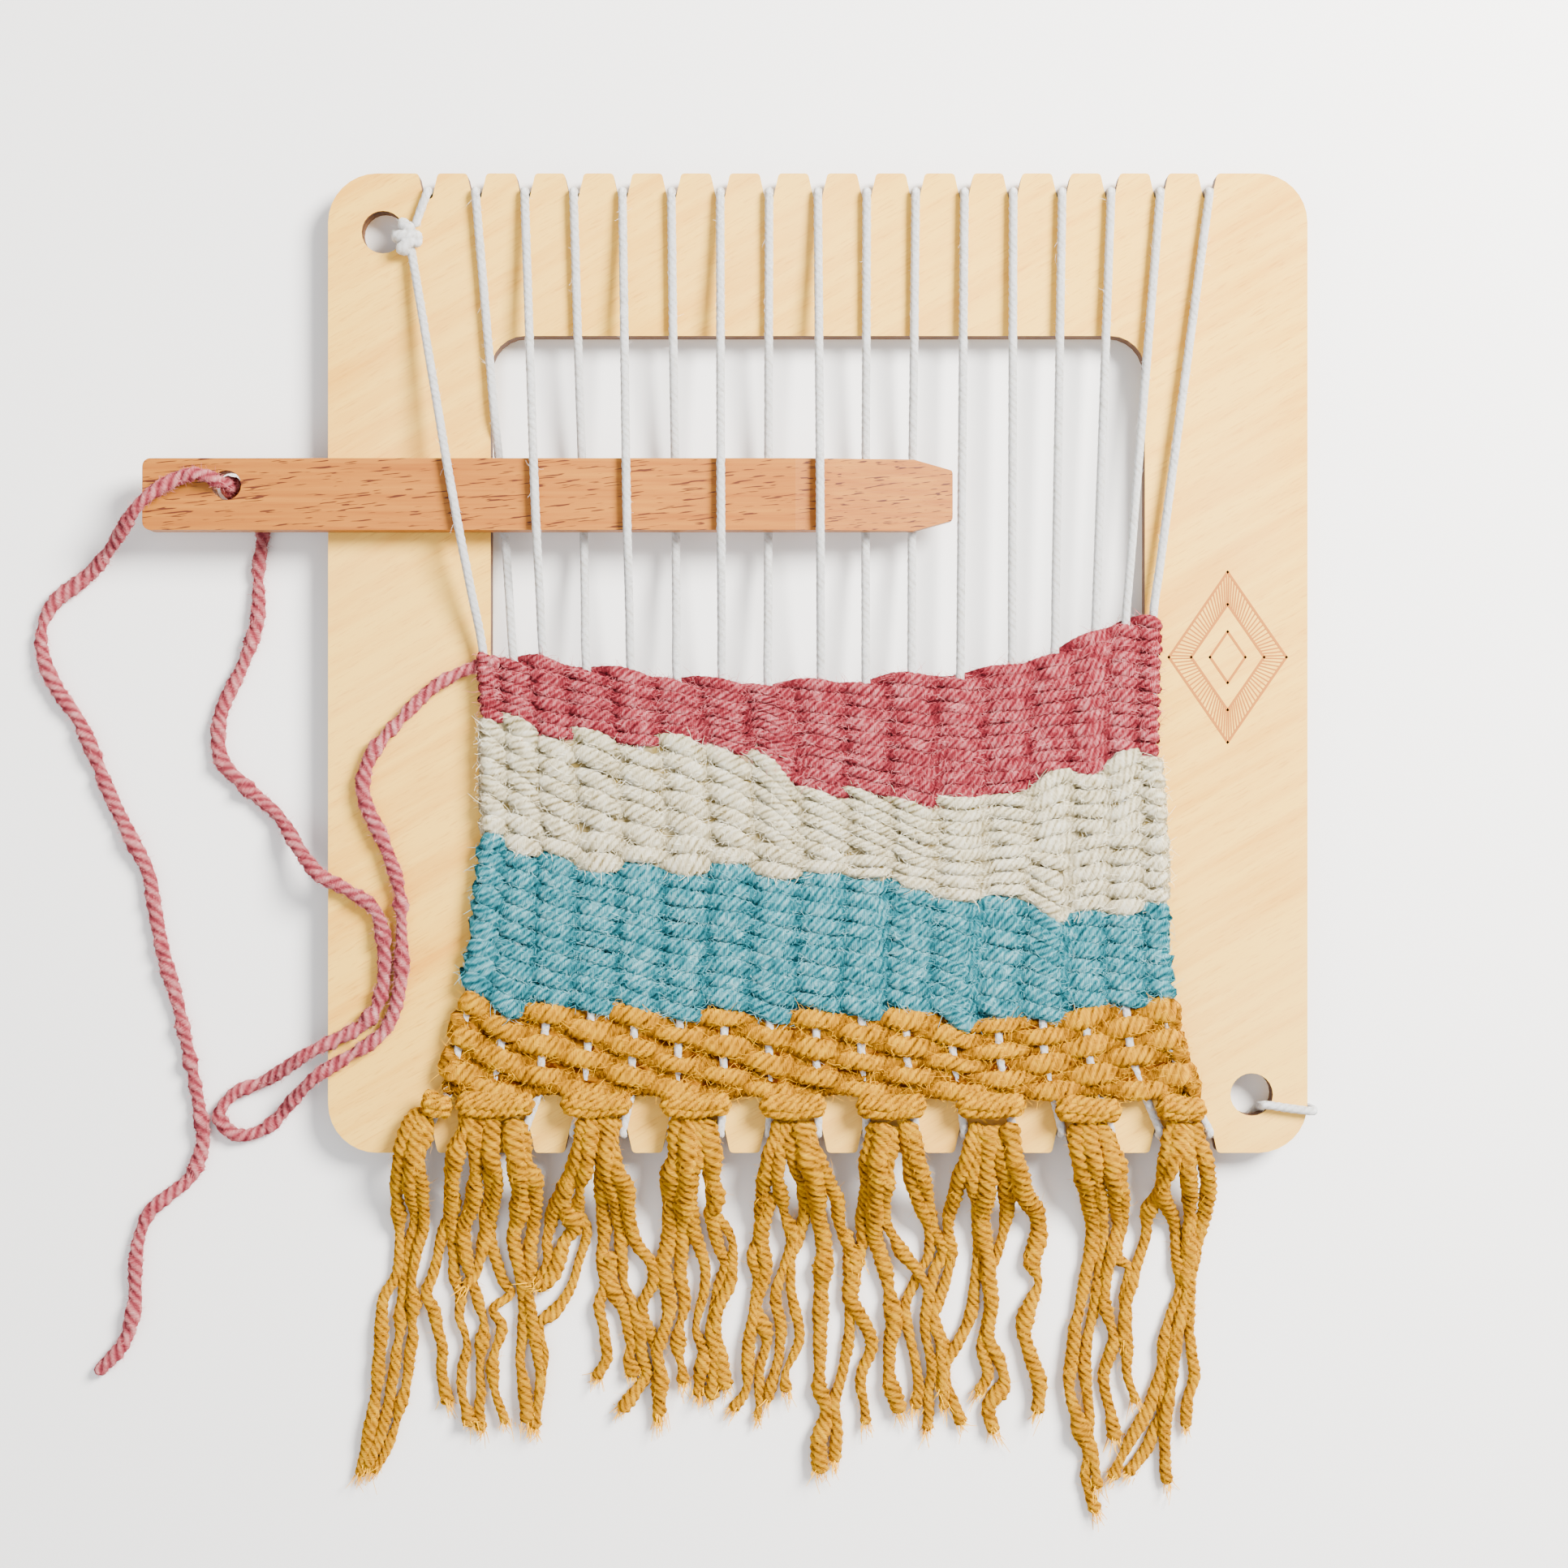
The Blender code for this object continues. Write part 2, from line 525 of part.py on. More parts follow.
def band_outline(upper, lower):
    """The outline of one band, half a gap inside its two lines, with the cloth's own edges at its sides."""
    upper = [(x, y - GAP / 2) for x, y in upper]
    lower = [(x, y + GAP / 2) for x, y in lower]
    top_left, top_right = upper[0][1], upper[-1][1]
    bottom_left, bottom_right = lower[0][1], lower[-1][1]
    right_side = [(right_edge(y), y) for y in np.linspace(top_right, bottom_right, 4)]
    left_side = [(left_edge(y), y) for y in np.linspace(bottom_left, top_left, 4)]
    return upper[1:-1] + right_side + lower[1:-1][::-1] + left_side


def make_channels(loom):
    """The space that the runs of the warp take inside the cloth."""
    bm = bmesh.new()
    for number in range(1, NOTCHES + 1):
        heights = [(y, z) for y, z in run_heights(number) if y < NEEDLE_Y - NEEDLE_WIDTH]
        stations = [(run_x(number, y), y, z, CHANNEL, CHANNEL) for y, z in heights]
        first = stations[0]
        stations.insert(0, (run_x(number, first[1] + 4 * MM), first[1] + 4 * MM, CLOTH_MID, CHANNEL, CHANNEL))
        loft(bm, stations, 6)
    channels = mesh_object("warp_channels", bm, loom)
    make_cutter(channels)
    return channels


def make_cloth(loom, yarns):
    channels = make_channels(loom)
    lines = {
        "pink_band": (PINK_TOP, PINK_CREAM),
        "cream_band": (PINK_CREAM, CREAM_BLUE),
        "blue_band": (CREAM_BLUE, BLUE_MUSTARD),
        "mustard_band": (BLUE_MUSTARD, MUSTARD_BOTTOM),
    }
    for name, (upper, lower) in lines.items():
        bm = prism([band_outline(upper, lower)], CLOTH_BACK, CLOTH_BACK + CLOTH_THICK)
        band = mesh_object(name, bm, loom, yarns[name.split("_")[0]])
        subtract(band, channels)


def fringe_height(y):
    """The fringe's lowest height and its thickness: over the board, then down to the table."""
    falls = [(FRINGE_LANDS_Y, 0.0), (FRINGE_FALL_Y, FRINGE_BACK)]
    back = line_at(falls, y)
    thick = line_at([(-176 * MM, 2.6 * MM), (FRINGE_LANDS_Y, 4.4 * MM), (KNOT_TOP_Y, 4.0 * MM)], y)
    return back, thick


def make_fringe(loom, mustard):
    for number, middle_line in enumerate(TASSELS, start=1):
        stations = []
        for x, y, width in scaled(middle_line):
            back, thick = fringe_height(y)
            stations.append((x, y, back + thick / 2, width, thick))
        bm = bmesh.new()
        loft(bm, stations, 12)
        mesh_object(f"fringe_tassel_{number}", bm, loom, mustard, smooth_angle=math.radians(70))


def make_working_yarn(loom, pink):
    spacing = 2.6 * YARN
    tube("working_yarn", smooth_route(WORKING_ROUTE, spacing), YARN, loom, pink, 2)
    tube("yarn_tail", smooth_route(TAIL_ROUTE, spacing), YARN, loom, pink, 2)


def main():
    clear_scene()
    loom = bpy.data.objects.new("loom_centre", None)
    bpy.context.collection.objects.link(loom)
    loom.location = (*LOOM_CENTRE, 0)
    birch = make_material("birch_plywood", BIRCH, 0.6)
    beech = make_material("beech", BEECH, 0.5)
    cotton = make_material("warp_cotton", COTTON, 0.9)
    colours = {"pink": PINK, "cream": CREAM, "blue": BLUE, "mustard": MUSTARD}
    yarns = {name: make_material(f"{name}_yarn", colour, 0.95) for name, colour in colours.items()}
    make_frame(loom, birch)
    make_needle(loom, beech)
    make_runs(loom, cotton)
    make_turns(loom, cotton)
    make_warp_ends(loom, cotton)
    make_cloth(loom, yarns)
    make_fringe(loom, yarns["mustard"])
    make_working_yarn(loom, yarns["pink"])


main()
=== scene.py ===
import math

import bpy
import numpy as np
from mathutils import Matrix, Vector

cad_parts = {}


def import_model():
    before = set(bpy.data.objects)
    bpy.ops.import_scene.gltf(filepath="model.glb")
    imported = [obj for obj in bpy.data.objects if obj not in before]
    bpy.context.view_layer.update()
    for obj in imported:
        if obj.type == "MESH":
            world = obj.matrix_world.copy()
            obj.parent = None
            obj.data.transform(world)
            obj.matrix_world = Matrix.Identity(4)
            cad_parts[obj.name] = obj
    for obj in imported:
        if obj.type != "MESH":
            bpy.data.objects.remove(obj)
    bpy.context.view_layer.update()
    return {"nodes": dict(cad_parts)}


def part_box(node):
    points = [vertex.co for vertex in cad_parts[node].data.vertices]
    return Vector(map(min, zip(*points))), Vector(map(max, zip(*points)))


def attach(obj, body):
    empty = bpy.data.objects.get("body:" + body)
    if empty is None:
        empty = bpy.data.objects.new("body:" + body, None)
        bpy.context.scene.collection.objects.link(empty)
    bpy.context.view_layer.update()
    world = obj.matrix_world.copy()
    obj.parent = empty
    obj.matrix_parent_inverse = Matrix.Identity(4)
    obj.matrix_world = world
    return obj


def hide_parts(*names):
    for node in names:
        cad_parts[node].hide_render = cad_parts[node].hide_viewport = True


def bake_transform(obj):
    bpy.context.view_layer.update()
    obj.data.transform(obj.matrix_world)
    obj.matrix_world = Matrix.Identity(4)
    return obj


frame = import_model()

# The looks of a small weaving loom with a half-finished woven piece: real yarn for the cloth, its fringe,
# the warp and the working yarn, and wood for the board and the needle, with the light and the camera.
# Lengths are in metres unless a name says otherwise, in the frame's own directions.

MM = 0.001
random = np.random.default_rng(17)

# ---- places read from the frame ----

board_low, board_high = np.array(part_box("loom_frame"))
LOOM_X, LOOM_Y = (board_low[:2] + board_high[:2]) / 2
HALF = (board_high[0] - board_low[0]) / 2
FACE = board_high[2]
BACK = board_low[2]
cloth_low, cloth_high = np.array(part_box("pink_band"))
CLOTH_MID = (cloth_low[2] + cloth_high[2]) / 2
NOTCHES = 17
STRING = 1.85 * MM
STRING_ROOM = 0.3 * MM  # between the string and the board
FACE_STRING = FACE + STRING_ROOM + STRING / 2
LEG_Y = 96.3 * MM  # where the string passes through a notch, from the loom's centre
YARN = 2.8 * MM

# How each yarn is spun: its plies, the length of one turn and the depth between the plies.
FREE_SPIN = (3, 7.4 * MM, 0.2)
STRING_SPIN = (3, 4.8 * MM, 0.12)
FINE_SPIN = (4, 5.2 * MM, 0.16)
FAT_SPIN = (4, 5.6 * MM, 0.18)
FRINGE_SPIN = (4, 6.6 * MM, 0.26)

# Colours as dark, middle and light: the dark stands for darker fibres and for painted shade between the
# plies, the light for lighter fibres and for painted light on the ply crests.
PINK = ("#3E0610", "#A43641", "#EE9EA0")
PALE_PINK = ("#7E2C38", "#BE565E", "#EEAEAB")
CREAM = ("#7C6A3C", "#F0E4BC", "#FFFFF2")
BLUE = ("#03252D", "#328B98", "#ACE2E6")
MUSTARD = ("#441A00", "#DC9400", "#FFC600")
COTTON = ("#DEDAD0", "#FFFFFD", "#FFFFFF")


def world(points):
    """Points given in millimetres from the loom's centre, in the frame's metres."""
    points = np.asarray(points, float) * MM
    points[..., 0] += LOOM_X
    points[..., 1] += LOOM_Y
    return points


def add(name, data):
    """A new object in the scene."""
    obj = bpy.data.objects.new(name, data)
    bpy.context.scene.collection.objects.link(obj)
    return obj


# ---- the camera and the light ----

VIEW_CENTRE = (-6.9 * MM, -24.7 * MM)
VIEW_WIDTH = 320.2 * MM
CAMERA_DISTANCE = 0.5
SENSOR_WIDTH = 36.0  # in millimetres


def make_camera():
    data = bpy.data.cameras.new("camera")
    data.sensor_width = SENSOR_WIDTH
    data.lens = data.sensor_width * CAMERA_DISTANCE / VIEW_WIDTH
    camera = add("camera", data)
    camera.location = (LOOM_X + VIEW_CENTRE[0], LOOM_Y + VIEW_CENTRE[1], FACE + CAMERA_DISTANCE)
    bpy.context.scene.camera = camera


def area_light(name, place, size, power, colour):
    data = bpy.data.lights.new(name, "AREA")
    data.shape = "DISK"
    data.size = size
    data.energy = power
    data.color = colour
    lamp = add(name, data)
    lamp.location = place
    lamp.rotation_euler = (-lamp.location).to_track_quat("-Z", "Y").to_euler()


def make_light():
    area_light("key", place=(0.50, 0.38, 0.56), size=0.36, power=34.0, colour=(1.0, 0.97, 0.93))
    area_light("fill", place=(-0.7, -0.5, 1.1), size=1.4, power=7.0, colour=(0.97, 0.98, 1.0))
    sky = bpy.data.worlds.new("room")
    sky.use_nodes = True
    background = sky.node_tree.nodes["Background"]
    background.inputs["Color"].default_value = (0.97, 0.98, 1.0, 1.0)
    background.inputs["Strength"].default_value = 1.02
    bpy.context.scene.world = sky


# ---- materials ----


def linear(colour):
    """A hex colour as the linear values that a shader takes."""
    values = [int(colour[i:i + 2], 16) / 255 for i in (1, 3, 5)]
    return tuple(v / 12.92 if v <= 0.04045 else ((v + 0.055) / 1.055) ** 2.4 for v in values) + (1.0,)


class Look:
    """A material under construction: its node tree, its shader and short ways to add nodes."""

    def __init__(self, name, roughness, specular=0.3):
        self.material = bpy.data.materials.new(name)
        self.material.use_nodes = True
        self.tree = self.material.node_tree
        self.shader = self.tree.nodes["Principled BSDF"]
        self.shader.inputs["Roughness"].default_value = roughness
        self.shader.inputs["Specular IOR Level"].default_value = specular

    def put(self, socket, value):
        if isinstance(value, bpy.types.NodeSocket):
            self.tree.links.new(value, socket)
        else:
            socket.default_value = value

    def math(self, operation, first, second=0.5):
        node = self.tree.nodes.new("ShaderNodeMath")
        node.operation = operation
        self.put(node.inputs[0], first)
        self.put(node.inputs[1], second)
        return node.outputs[0]

    def blend(self, share, first, second):
        """The first colour at share 0, the second at share 1."""
        node = self.tree.nodes.new("ShaderNodeMix")
        node.data_type = "RGBA"
        node.clamp_factor = True
        self.put(node.inputs["Factor"], share)
        self.put(node.inputs["A"], first)
        self.put(node.inputs["B"], second)
        return node.outputs["Result"]

    def ramp(self, value, low, high):
        """0 where value is at low, 1 where it is at high."""
        node = self.tree.nodes.new("ShaderNodeMapRange")
        self.put(node.inputs["Value"], value)
        node.inputs["From Min"].default_value = low
        node.inputs["From Max"].default_value = high
        return node.outputs["Result"]

    def place(self, source, scale, turn=0.0):
        """Texture coordinates: the object's own, in metres, or the yarn's length and girth."""
        if source == "object":
            start = self.tree.nodes.new("ShaderNodeTexCoord").outputs["Object"]
        else:
            node = self.tree.nodes.new("ShaderNodeUVMap")
            node.uv_map = source
            start = node.outputs["UV"]
        if turn:
            turned = self.tree.nodes.new("ShaderNodeMapping")
            self.put(turned.inputs["Vector"], start)
            turned.inputs["Rotation"].default_value = (0.0, 0.0, turn)
            start = turned.outputs["Vector"]
        mapping = self.tree.nodes.new("ShaderNodeMapping")
        self.put(mapping.inputs["Vector"], start)
        mapping.inputs["Scale"].default_value = scale
        return mapping.outputs["Vector"]

    def noise(self, place, scale, detail=3.0, roughness=0.6):
        node = self.tree.nodes.new("ShaderNodeTexNoise")
        self.put(node.inputs["Vector"], place)
        node.inputs["Scale"].default_value = scale
        node.inputs["Detail"].default_value = detail
        node.inputs["Roughness"].default_value = roughness
        return node.outputs["Fac"]

    def bump(self, height, distance, strength=1.0):
        node = self.tree.nodes.new("ShaderNodeBump")
        node.inputs["Distance"].default_value = distance
        node.inputs["Strength"].default_value = strength
        self.put(node.inputs["Height"], height)
        self.put(self.shader.inputs["Normal"], node.outputs["Normal"])

    def colour(self, value):
        self.put(self.shader.inputs["Base Color"], value)


# How much the fibres and the patches each change a yarn's tone, how strongly the plies get painted shade
# between them and painted light on their crests, and how light the yarn is on the whole.
FIBRE_CONTRAST = 2.6
PATCH_CONTRAST = 0.9
PLY_PAINTED_LIGHT_CONTRAST = 0.62
YARN_BRIGHTNESS = 0.12


def yarn_look(name, colours):
    """Spun yarn: painted shade between the plies and wherever the mesh marks it deep, painted light on their
    crests, with fine streaks along the fibres.
    """
    dark, middle, light = (linear(colour) for colour in colours)
    look = Look(name, 0.95, 0.05)
    crest = look.tree.nodes.new("ShaderNodeAttribute")
    crest.attribute_name = "crest"
    streaks = look.noise(look.place("yarn", (0.6, 12.0, 1.0), 0.5), 2.6, 5.0, 0.75)
    patches = look.noise(look.place("object", (1, 1, 1)), 420.0, 2.0)
    fibre = look.math("MULTIPLY", look.math("SUBTRACT", streaks, 0.5), FIBRE_CONTRAST)
    patch = look.math("MULTIPLY", look.math("SUBTRACT", patches, 0.5), PATCH_CONTRAST)
    # the crest attribute gives painted shade between the plies and where a pick dives, and painted light on
    # the ply crests and loose fibres
    painted_ply_light = look.math("ADD", look.math("MULTIPLY", crest.outputs["Fac"], PLY_PAINTED_LIGHT_CONTRAST), YARN_BRIGHTNESS)
    depth = look.math("ADD", painted_ply_light, look.math("ADD", fibre, patch))
    shade = look.blend(look.ramp(depth, 0.05, 0.6), dark, middle)
    look.colour(look.blend(look.ramp(depth, 0.55, 1.1), shade, light))
    look.bump(streaks, 0.6 * MM)
    return look.material


def birch_look():
    """Pale plywood with a faint slanting grain and flecks, and burnt brown walls where it was cut."""
    look = Look("birch_face_and_burnt_walls", 0.62, 0.3)
    grain_turn = math.radians(-30)
    grain = look.noise(look.place("object", (14, 260, 60), grain_turn), 1.0, 5.0, 0.62)
    flecks = look.noise(look.place("object", (240, 2400, 700), grain_turn), 1.0, 2.0)
    clouds = look.noise(look.place("object", (1, 1, 1)), 11.0, 3.0)
    face = look.blend(look.ramp(grain, 0.42, 0.72), linear("#F1BE4A"), linear("#E09C28"))
    fleck_share = look.math("MULTIPLY", look.ramp(flecks, 0.56, 0.72), 0.5)
    face = look.blend(fleck_share, face, linear("#C47A1E"))
    cloud_share = look.math("MULTIPLY", look.ramp(clouds, 0.35, 0.7), 0.35)
    face = look.blend(cloud_share, face, linear("#F6CC78"))
    layers = look.noise(look.place("object", (60, 60, 2600)), 1.0, 2.0)
    wall = look.blend(look.ramp(layers, 0.35, 0.7), linear("#3E2412"), linear("#7A4E27"))
    normal = look.tree.nodes.new("ShaderNodeNewGeometry")
    split = look.tree.nodes.new("ShaderNodeSeparateXYZ")
    look.put(split.inputs[0], normal.outputs["True Normal"])
    level = look.math("ABSOLUTE", split.outputs["Z"])
    is_face = look.math("GREATER_THAN", level, 0.97)
    look.colour(look.blend(is_face, wall, face))
    look.bump(grain, 0.12 * MM, 0.5)
    return look.material


def beech_look():
    """Reddish beech, its grain along the needle, with short dark flecks."""
    look = Look("beech_with_flecks", 0.5, 0.35)
    grain = look.noise(look.place("object", (25, 700, 700)), 1.0, 4.0, 0.6)
    flecks = look.noise(look.place("object", (190, 2600, 2600), math.radians(-6)), 1.0, 1.0)
    wood = look.blend(look.ramp(grain, 0.3, 0.75), linear("#B2701E"), linear("#95500C"))
    fleck_share = look.math("MULTIPLY", look.ramp(flecks, 0.62, 0.66), 0.95)
    look.colour(look.blend(fleck_share, wood, linear("#4A1804")))
    look.bump(flecks, 0.1 * MM, 0.4)
    return look.material


def plain_look(name, colour, roughness):
    look = Look(name, roughness)
    look.colour(linear(colour))
    return look.material


def table_look():
    look = Look("white_table", 0.55, 0.2)
    clouds = look.noise(look.place("object", (1, 1, 1)), 5.0, 2.0)
    look.colour(look.blend(look.ramp(clouds, 0.3, 0.7), linear("#F4F3F1"), linear("#F8F7F5")))
    return look.material


# ---- yarn as a mesh ----

# Crest values that the material turns into painted shade and painted light: a middle level for end caps, a
# lit level for loose fibres, a brighter one for fibres at cut ends.
CREST_OF_CAP = 0.6
CREST_OF_FIBRE = 0.95
CREST_OF_CUT_END = 1.1
FIBRE_FLOOR = 0.1 * MM  # loose fibres stay this far above the table
CUT_END_FLOOR = 0.12 * MM
RIBBON_MARKS = np.linspace(0, 1, 3)[:, None, None]  # a loose fibre has three points


def lengths_along(path):
    steps = np.linalg.norm(np.diff(path[:, :3], axis=0), axis=1)
    return np.concatenate([[0.0], np.cumsum(steps)])


def smooth_line(points, spacing, fineness=10):
    """Rows evenly spaced along a smooth curve through the given rows: x, y, z and any other values."""
    points = np.asarray(points, float)
    padded = np.vstack([2 * points[0] - points[1], points, 2 * points[-1] - points[-2]])
    a, b, c, d = (padded[i:len(points) - 1 + i, None] for i in range(4))
    t = np.linspace(0, 1, fineness, endpoint=False)[None, :, None]
    fine = 0.5 * (2 * b + (c - a) * t + (2 * a - 5 * b + 4 * c - d) * t**2 + (3 * b - a - 3 * c + d) * t**3)
    fine = np.vstack([fine.reshape(-1, points.shape[1]), points[-1]])
    along = lengths_along(fine)
    marks = np.linspace(0, along[-1], max(3, int(along[-1] / spacing) + 1))
    return np.column_stack([np.interp(marks, along, column) for column in fine.T])


def soft_step(value):
    value = np.clip(value, 0, 1)
    return value * value * (3 - 2 * value)


def wander(count, every, amount):
    """Smooth random values for a row of things, with a new value at every so many."""
    place = np.arange(count) / every
    whole = place.astype(int)
    part = soft_step(place - whole)
    values = random.normal(0, amount, whole[-1] + 2)
    return values[whole] * (1 - part) + values[whole + 1] * part


def directions(path, level):
    """The way along a path, and two ways across it: sideways and upwards."""
    along = np.gradient(path, axis=0)
    along /= np.maximum(np.linalg.norm(along, axis=1, keepdims=True), 1e-12)
    if level:
        side = np.cross(along, (0, 0, 1))
        side /= np.maximum(np.linalg.norm(side, axis=1, keepdims=True), 1e-9)
        return along, side, np.cross(side, along)
    side = np.zeros_like(along)
    start = (1, 0, 0) if abs(along[0][0]) < 0.8 else (0, 1, 0)
    current = np.cross(along[0], start)
    for i, way in enumerate(along):
        current = current - way * (current @ way)
        current = current / np.linalg.norm(current)
        side[i] = current
    return along, side, np.cross(side, along)


class Yarn:
    """Tubes and loose fibres gathered for one mesh."""

    def __init__(self):
        self.verts, self.quads, self.tris = [], [], []
        self.crest, self.quad_uv, self.tri_uv = [], [], []
        self.count = 0

    def tube(self, path, wide, high, spin, sides=12, level=True, shade=1.0, rough=0.04):
        """A closed tube along a path. Wide and high are its half sizes, and shade is painted shade that
        darkens what lies deep.

        spin is how it is spun: the number of plies, the length of one turn and the depth between the plies.
        """
        plies, pitch, groove = spin
        path = np.asarray(path, float)
        along = lengths_along(path)
        wide, high = (np.broadcast_to(np.asarray(size, float), len(path)).copy() for size in (wide, high))
        near_end = np.minimum(along, along[-1] - along)
        reach = np.clip(1 - near_end / np.minimum(wide, high), 0, 1)
        closing = np.maximum(np.sqrt(1 - reach**2), 0.15)  # rounds off both ends
        wide *= closing
        high *= closing
        _, side, up = directions(path, level)
        angle = 2 * np.pi * np.arange(sides) / sides - np.pi / 2
        phase = 2 * np.pi * along / pitch + wander(len(path), 14, 0.35)
        crest = np.abs(np.cos(plies / 2 * (angle[None, :] - phase[:, None])))
        reach = 1 - groove * (1 - crest) + random.normal(0, rough, crest.shape)
        # crest is 1 on a ply's crest and 0 between plies, times shade; the material paints it as shade and
        # light
        crest = crest * np.reshape(np.broadcast_to(shade, len(path)), (-1, 1))
        across = (np.cos(angle) * reach * wide[:, None])[..., None] * side[:, None]
        upwards = (np.sin(angle) * reach * high[:, None])[..., None] * up[:, None]
        rings = path[:, None] + across + upwards
        n = len(path)
        first = self.count
        index = first + np.arange(n * sides).reshape(n, sides)
        near, far = index[:-1], index[1:]
        quads = np.stack([near, np.roll(near, -1, 1), np.roll(far, -1, 1), far], -1).reshape(-1, 4)
        girth = np.arange(sides + 1) / sides
        length = along / MM
        corner = np.zeros((n - 1, sides, 4, 2))
        corner[..., 0, 0] = corner[..., 1, 0] = length[:-1, None]
        corner[..., 2, 0] = corner[..., 3, 0] = length[1:, None]
        corner[..., 0, 1] = corner[..., 3, 1] = girth[None, :-1]
        corner[..., 1, 1] = corner[..., 2, 1] = girth[None, 1:]
        ends = first + n * sides + np.arange(2)
        start_cap = np.stack([np.roll(index[0], -1), index[0], np.full(sides, ends[0])], -1)
        end_cap = np.stack([index[-1], np.roll(index[-1], -1), np.full(sides, ends[1])], -1)
        self.verts += [rings.reshape(-1, 3), path[[0, -1]]]
        self.crest += [crest.reshape(-1), np.full(2, CREST_OF_CAP)]
        self.quads.append(quads)
        self.quad_uv.append(corner.reshape(-1, 2))
        self.tris += [start_cap, end_cap]
        self.tri_uv.append(np.zeros((2 * sides * 3, 2)))
        self.count += n * sides + 2
        return rings, path

    def ribbons(self, line, thin, floor, crest):
        """Fine ribbons along rows of three points, tapering and kept above the table."""
        line[..., 2] = np.maximum(line[..., 2], floor)
        across = np.cross(np.gradient(line, axis=0), (0.0, 0.0, 1.0))
        across /= np.maximum(np.linalg.norm(across, axis=2, keepdims=True), 1e-9)
        width = thin * (1 - 0.6 * RIBBON_MARKS) / 2
        pairs = np.stack([line - across * width, line + across * width], 2).transpose(1, 0, 2, 3)
        total = line.shape[1]
        index = self.count + np.arange(total * 6).reshape(total, 3, 2)
        quads = np.stack([index[:, :-1, 0], index[:, :-1, 1], index[:, 1:, 1], index[:, 1:, 0]], -1)
        self.verts.append(pairs.reshape(-1, 3))
        self.crest.append(np.full(total * 6, crest))
        self.quads.append(quads.reshape(-1, 4))
        self.quad_uv.append(np.zeros((total * 2 * 4, 2)))
        self.count += total * 6

    def fibres(self, rings, path, per_mm, longest, thin=0.06 * MM):
        """Loose fibres that stand out of a tube, each a fine curved ribbon."""
        total = int(lengths_along(path)[-1] / MM * per_mm)
        ring = random.integers(1, len(path) - 1, total)
        spot = random.integers(0, rings.shape[1], total)
        root = rings[ring, spot]
        outward = root - path[ring]
        outward /= np.linalg.norm(outward, axis=1, keepdims=True)
        along = path[ring] - path[ring - 1]
        along /= np.linalg.norm(along, axis=1, keepdims=True)
        way = outward * random.uniform(0.25, 1.0, (total, 1)) + along * random.uniform(-1.3, 1.3, (total, 1))
        way /= np.linalg.norm(way, axis=1, keepdims=True)
        bend = random.uniform(-1.1, 1.1, (total, 3)) - 0.5 * outward
        size = longest * random.beta(1.3, 2.6, (total, 1)) + 0.4 * MM
        line = root + size * (way * RIBBON_MARKS + bend * RIBBON_MARKS**2 * 0.45)
        self.ribbons(line, thin, FIBRE_FLOOR, CREST_OF_FIBRE)

    def frayed_end(self, path, radius, total=26, thin=0.22 * MM):
        """A brush of fibres at a cut end."""
        way = path[-1] - path[-4]
        way /= np.linalg.norm(way)
        spots = path[-3] + random.normal(0, 0.4, (total, 3)) * radius
        ways = way + random.normal(0, 0.28, (total, 3))
        size = random.uniform(0.8, 3.0, (total, 1)) * MM
        line = spots + size * (ways * RIBBON_MARKS + random.normal(0, 0.2, (total, 3)) * RIBBON_MARKS**2)
        self.ribbons(line, thin, CUT_END_FLOOR, CREST_OF_CUT_END)

    def piece(self, name, material, body, nodes):
        """The mesh as a named piece that stands for its CAD nodes, and rides a body unless that is None."""
        mesh = bpy.data.meshes.new(name)
        faces = np.vstack(self.quads).tolist() + np.vstack(self.tris).tolist()
        mesh.from_pydata(np.vstack(self.verts), [], faces)
        layer = mesh.uv_layers.new(name="yarn")
        layer.data.foreach_set("uv", np.vstack(self.quad_uv + self.tri_uv).ravel())
        mesh.attributes.new("crest", "FLOAT", "POINT").data.foreach_set("value", np.concatenate(self.crest))
        mesh.shade_smooth()
        mesh.materials.append(material)
        obj = add(name, mesh)
        if body:
            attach(obj, body)
        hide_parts(*nodes)
        return obj


# ---- the free yarn ----

# Where the working yarn lies, from the cloth's top left corner to the underside of the needle's eye.
WORKING_ROUTE = [
    (-64.5, 0.2, 9.6), (-70.2, -1.0, 7.7), (-77.4, -4.4, 7.7), (-84.3, -10.9, 7.7), (-90.9, -18.9, 7.7),
    (-92.5, -26.8, 7.7), (-88.3, -36.8, 7.7), (-85.3, -45.9, 7.7), (-84.7, -55.9, 7.7), (-85.2, -66.9, 7.7),
    (-88.5, -75.2, 7.7), (-96.3, -80.6, 7.7), (-102.2, -84.3, 7.4), (-107.0, -88.9, 4.3),
    (-111.1, -93.4, 1.8), (-114.6, -96.1, 1.4), (-119.8, -97.0, 1.4), (-123.3, -93.0, 1.4),
    (-120.0, -88.4, 1.4), (-113.9, -85.9, 1.7), (-109.2, -83.1, 4.1), (-104.3, -79.8, 7.0),
    (-98.7, -77.0, 7.7), (-92.3, -73.4, 7.7), (-88.9, -67.5, 7.7), (-88.3, -58.5, 7.7), (-90.1, -50.5, 7.7),
    (-96.1, -46.1, 7.7), (-101.8, -43.0, 7.5), (-106.5, -37.6, 4.7), (-111.0, -31.3, 1.9),
    (-117.4, -25.6, 1.4), (-122.9, -19.4, 1.4), (-122.9, -10.3, 1.4), (-118.6, -0.6, 1.4),
    (-115.4, 8.9, 1.4), (-115.2, 19.0, 1.4), (-114.3, 26.7, 1.4), (-114.6, 31.8, 1.5), (-118.6, 34.8, 2.8),
    (-119.6, 35.7, 5.6),
]
# The middle of the needle's eye, and how far from it the yarn starts to swell and is at its fullest.
EYE_PLACE = (-119.6, 35.7, 6.1)
EYE_SWELL_STARTS = 5.0
EYE_SWELL_FULL = 1.5
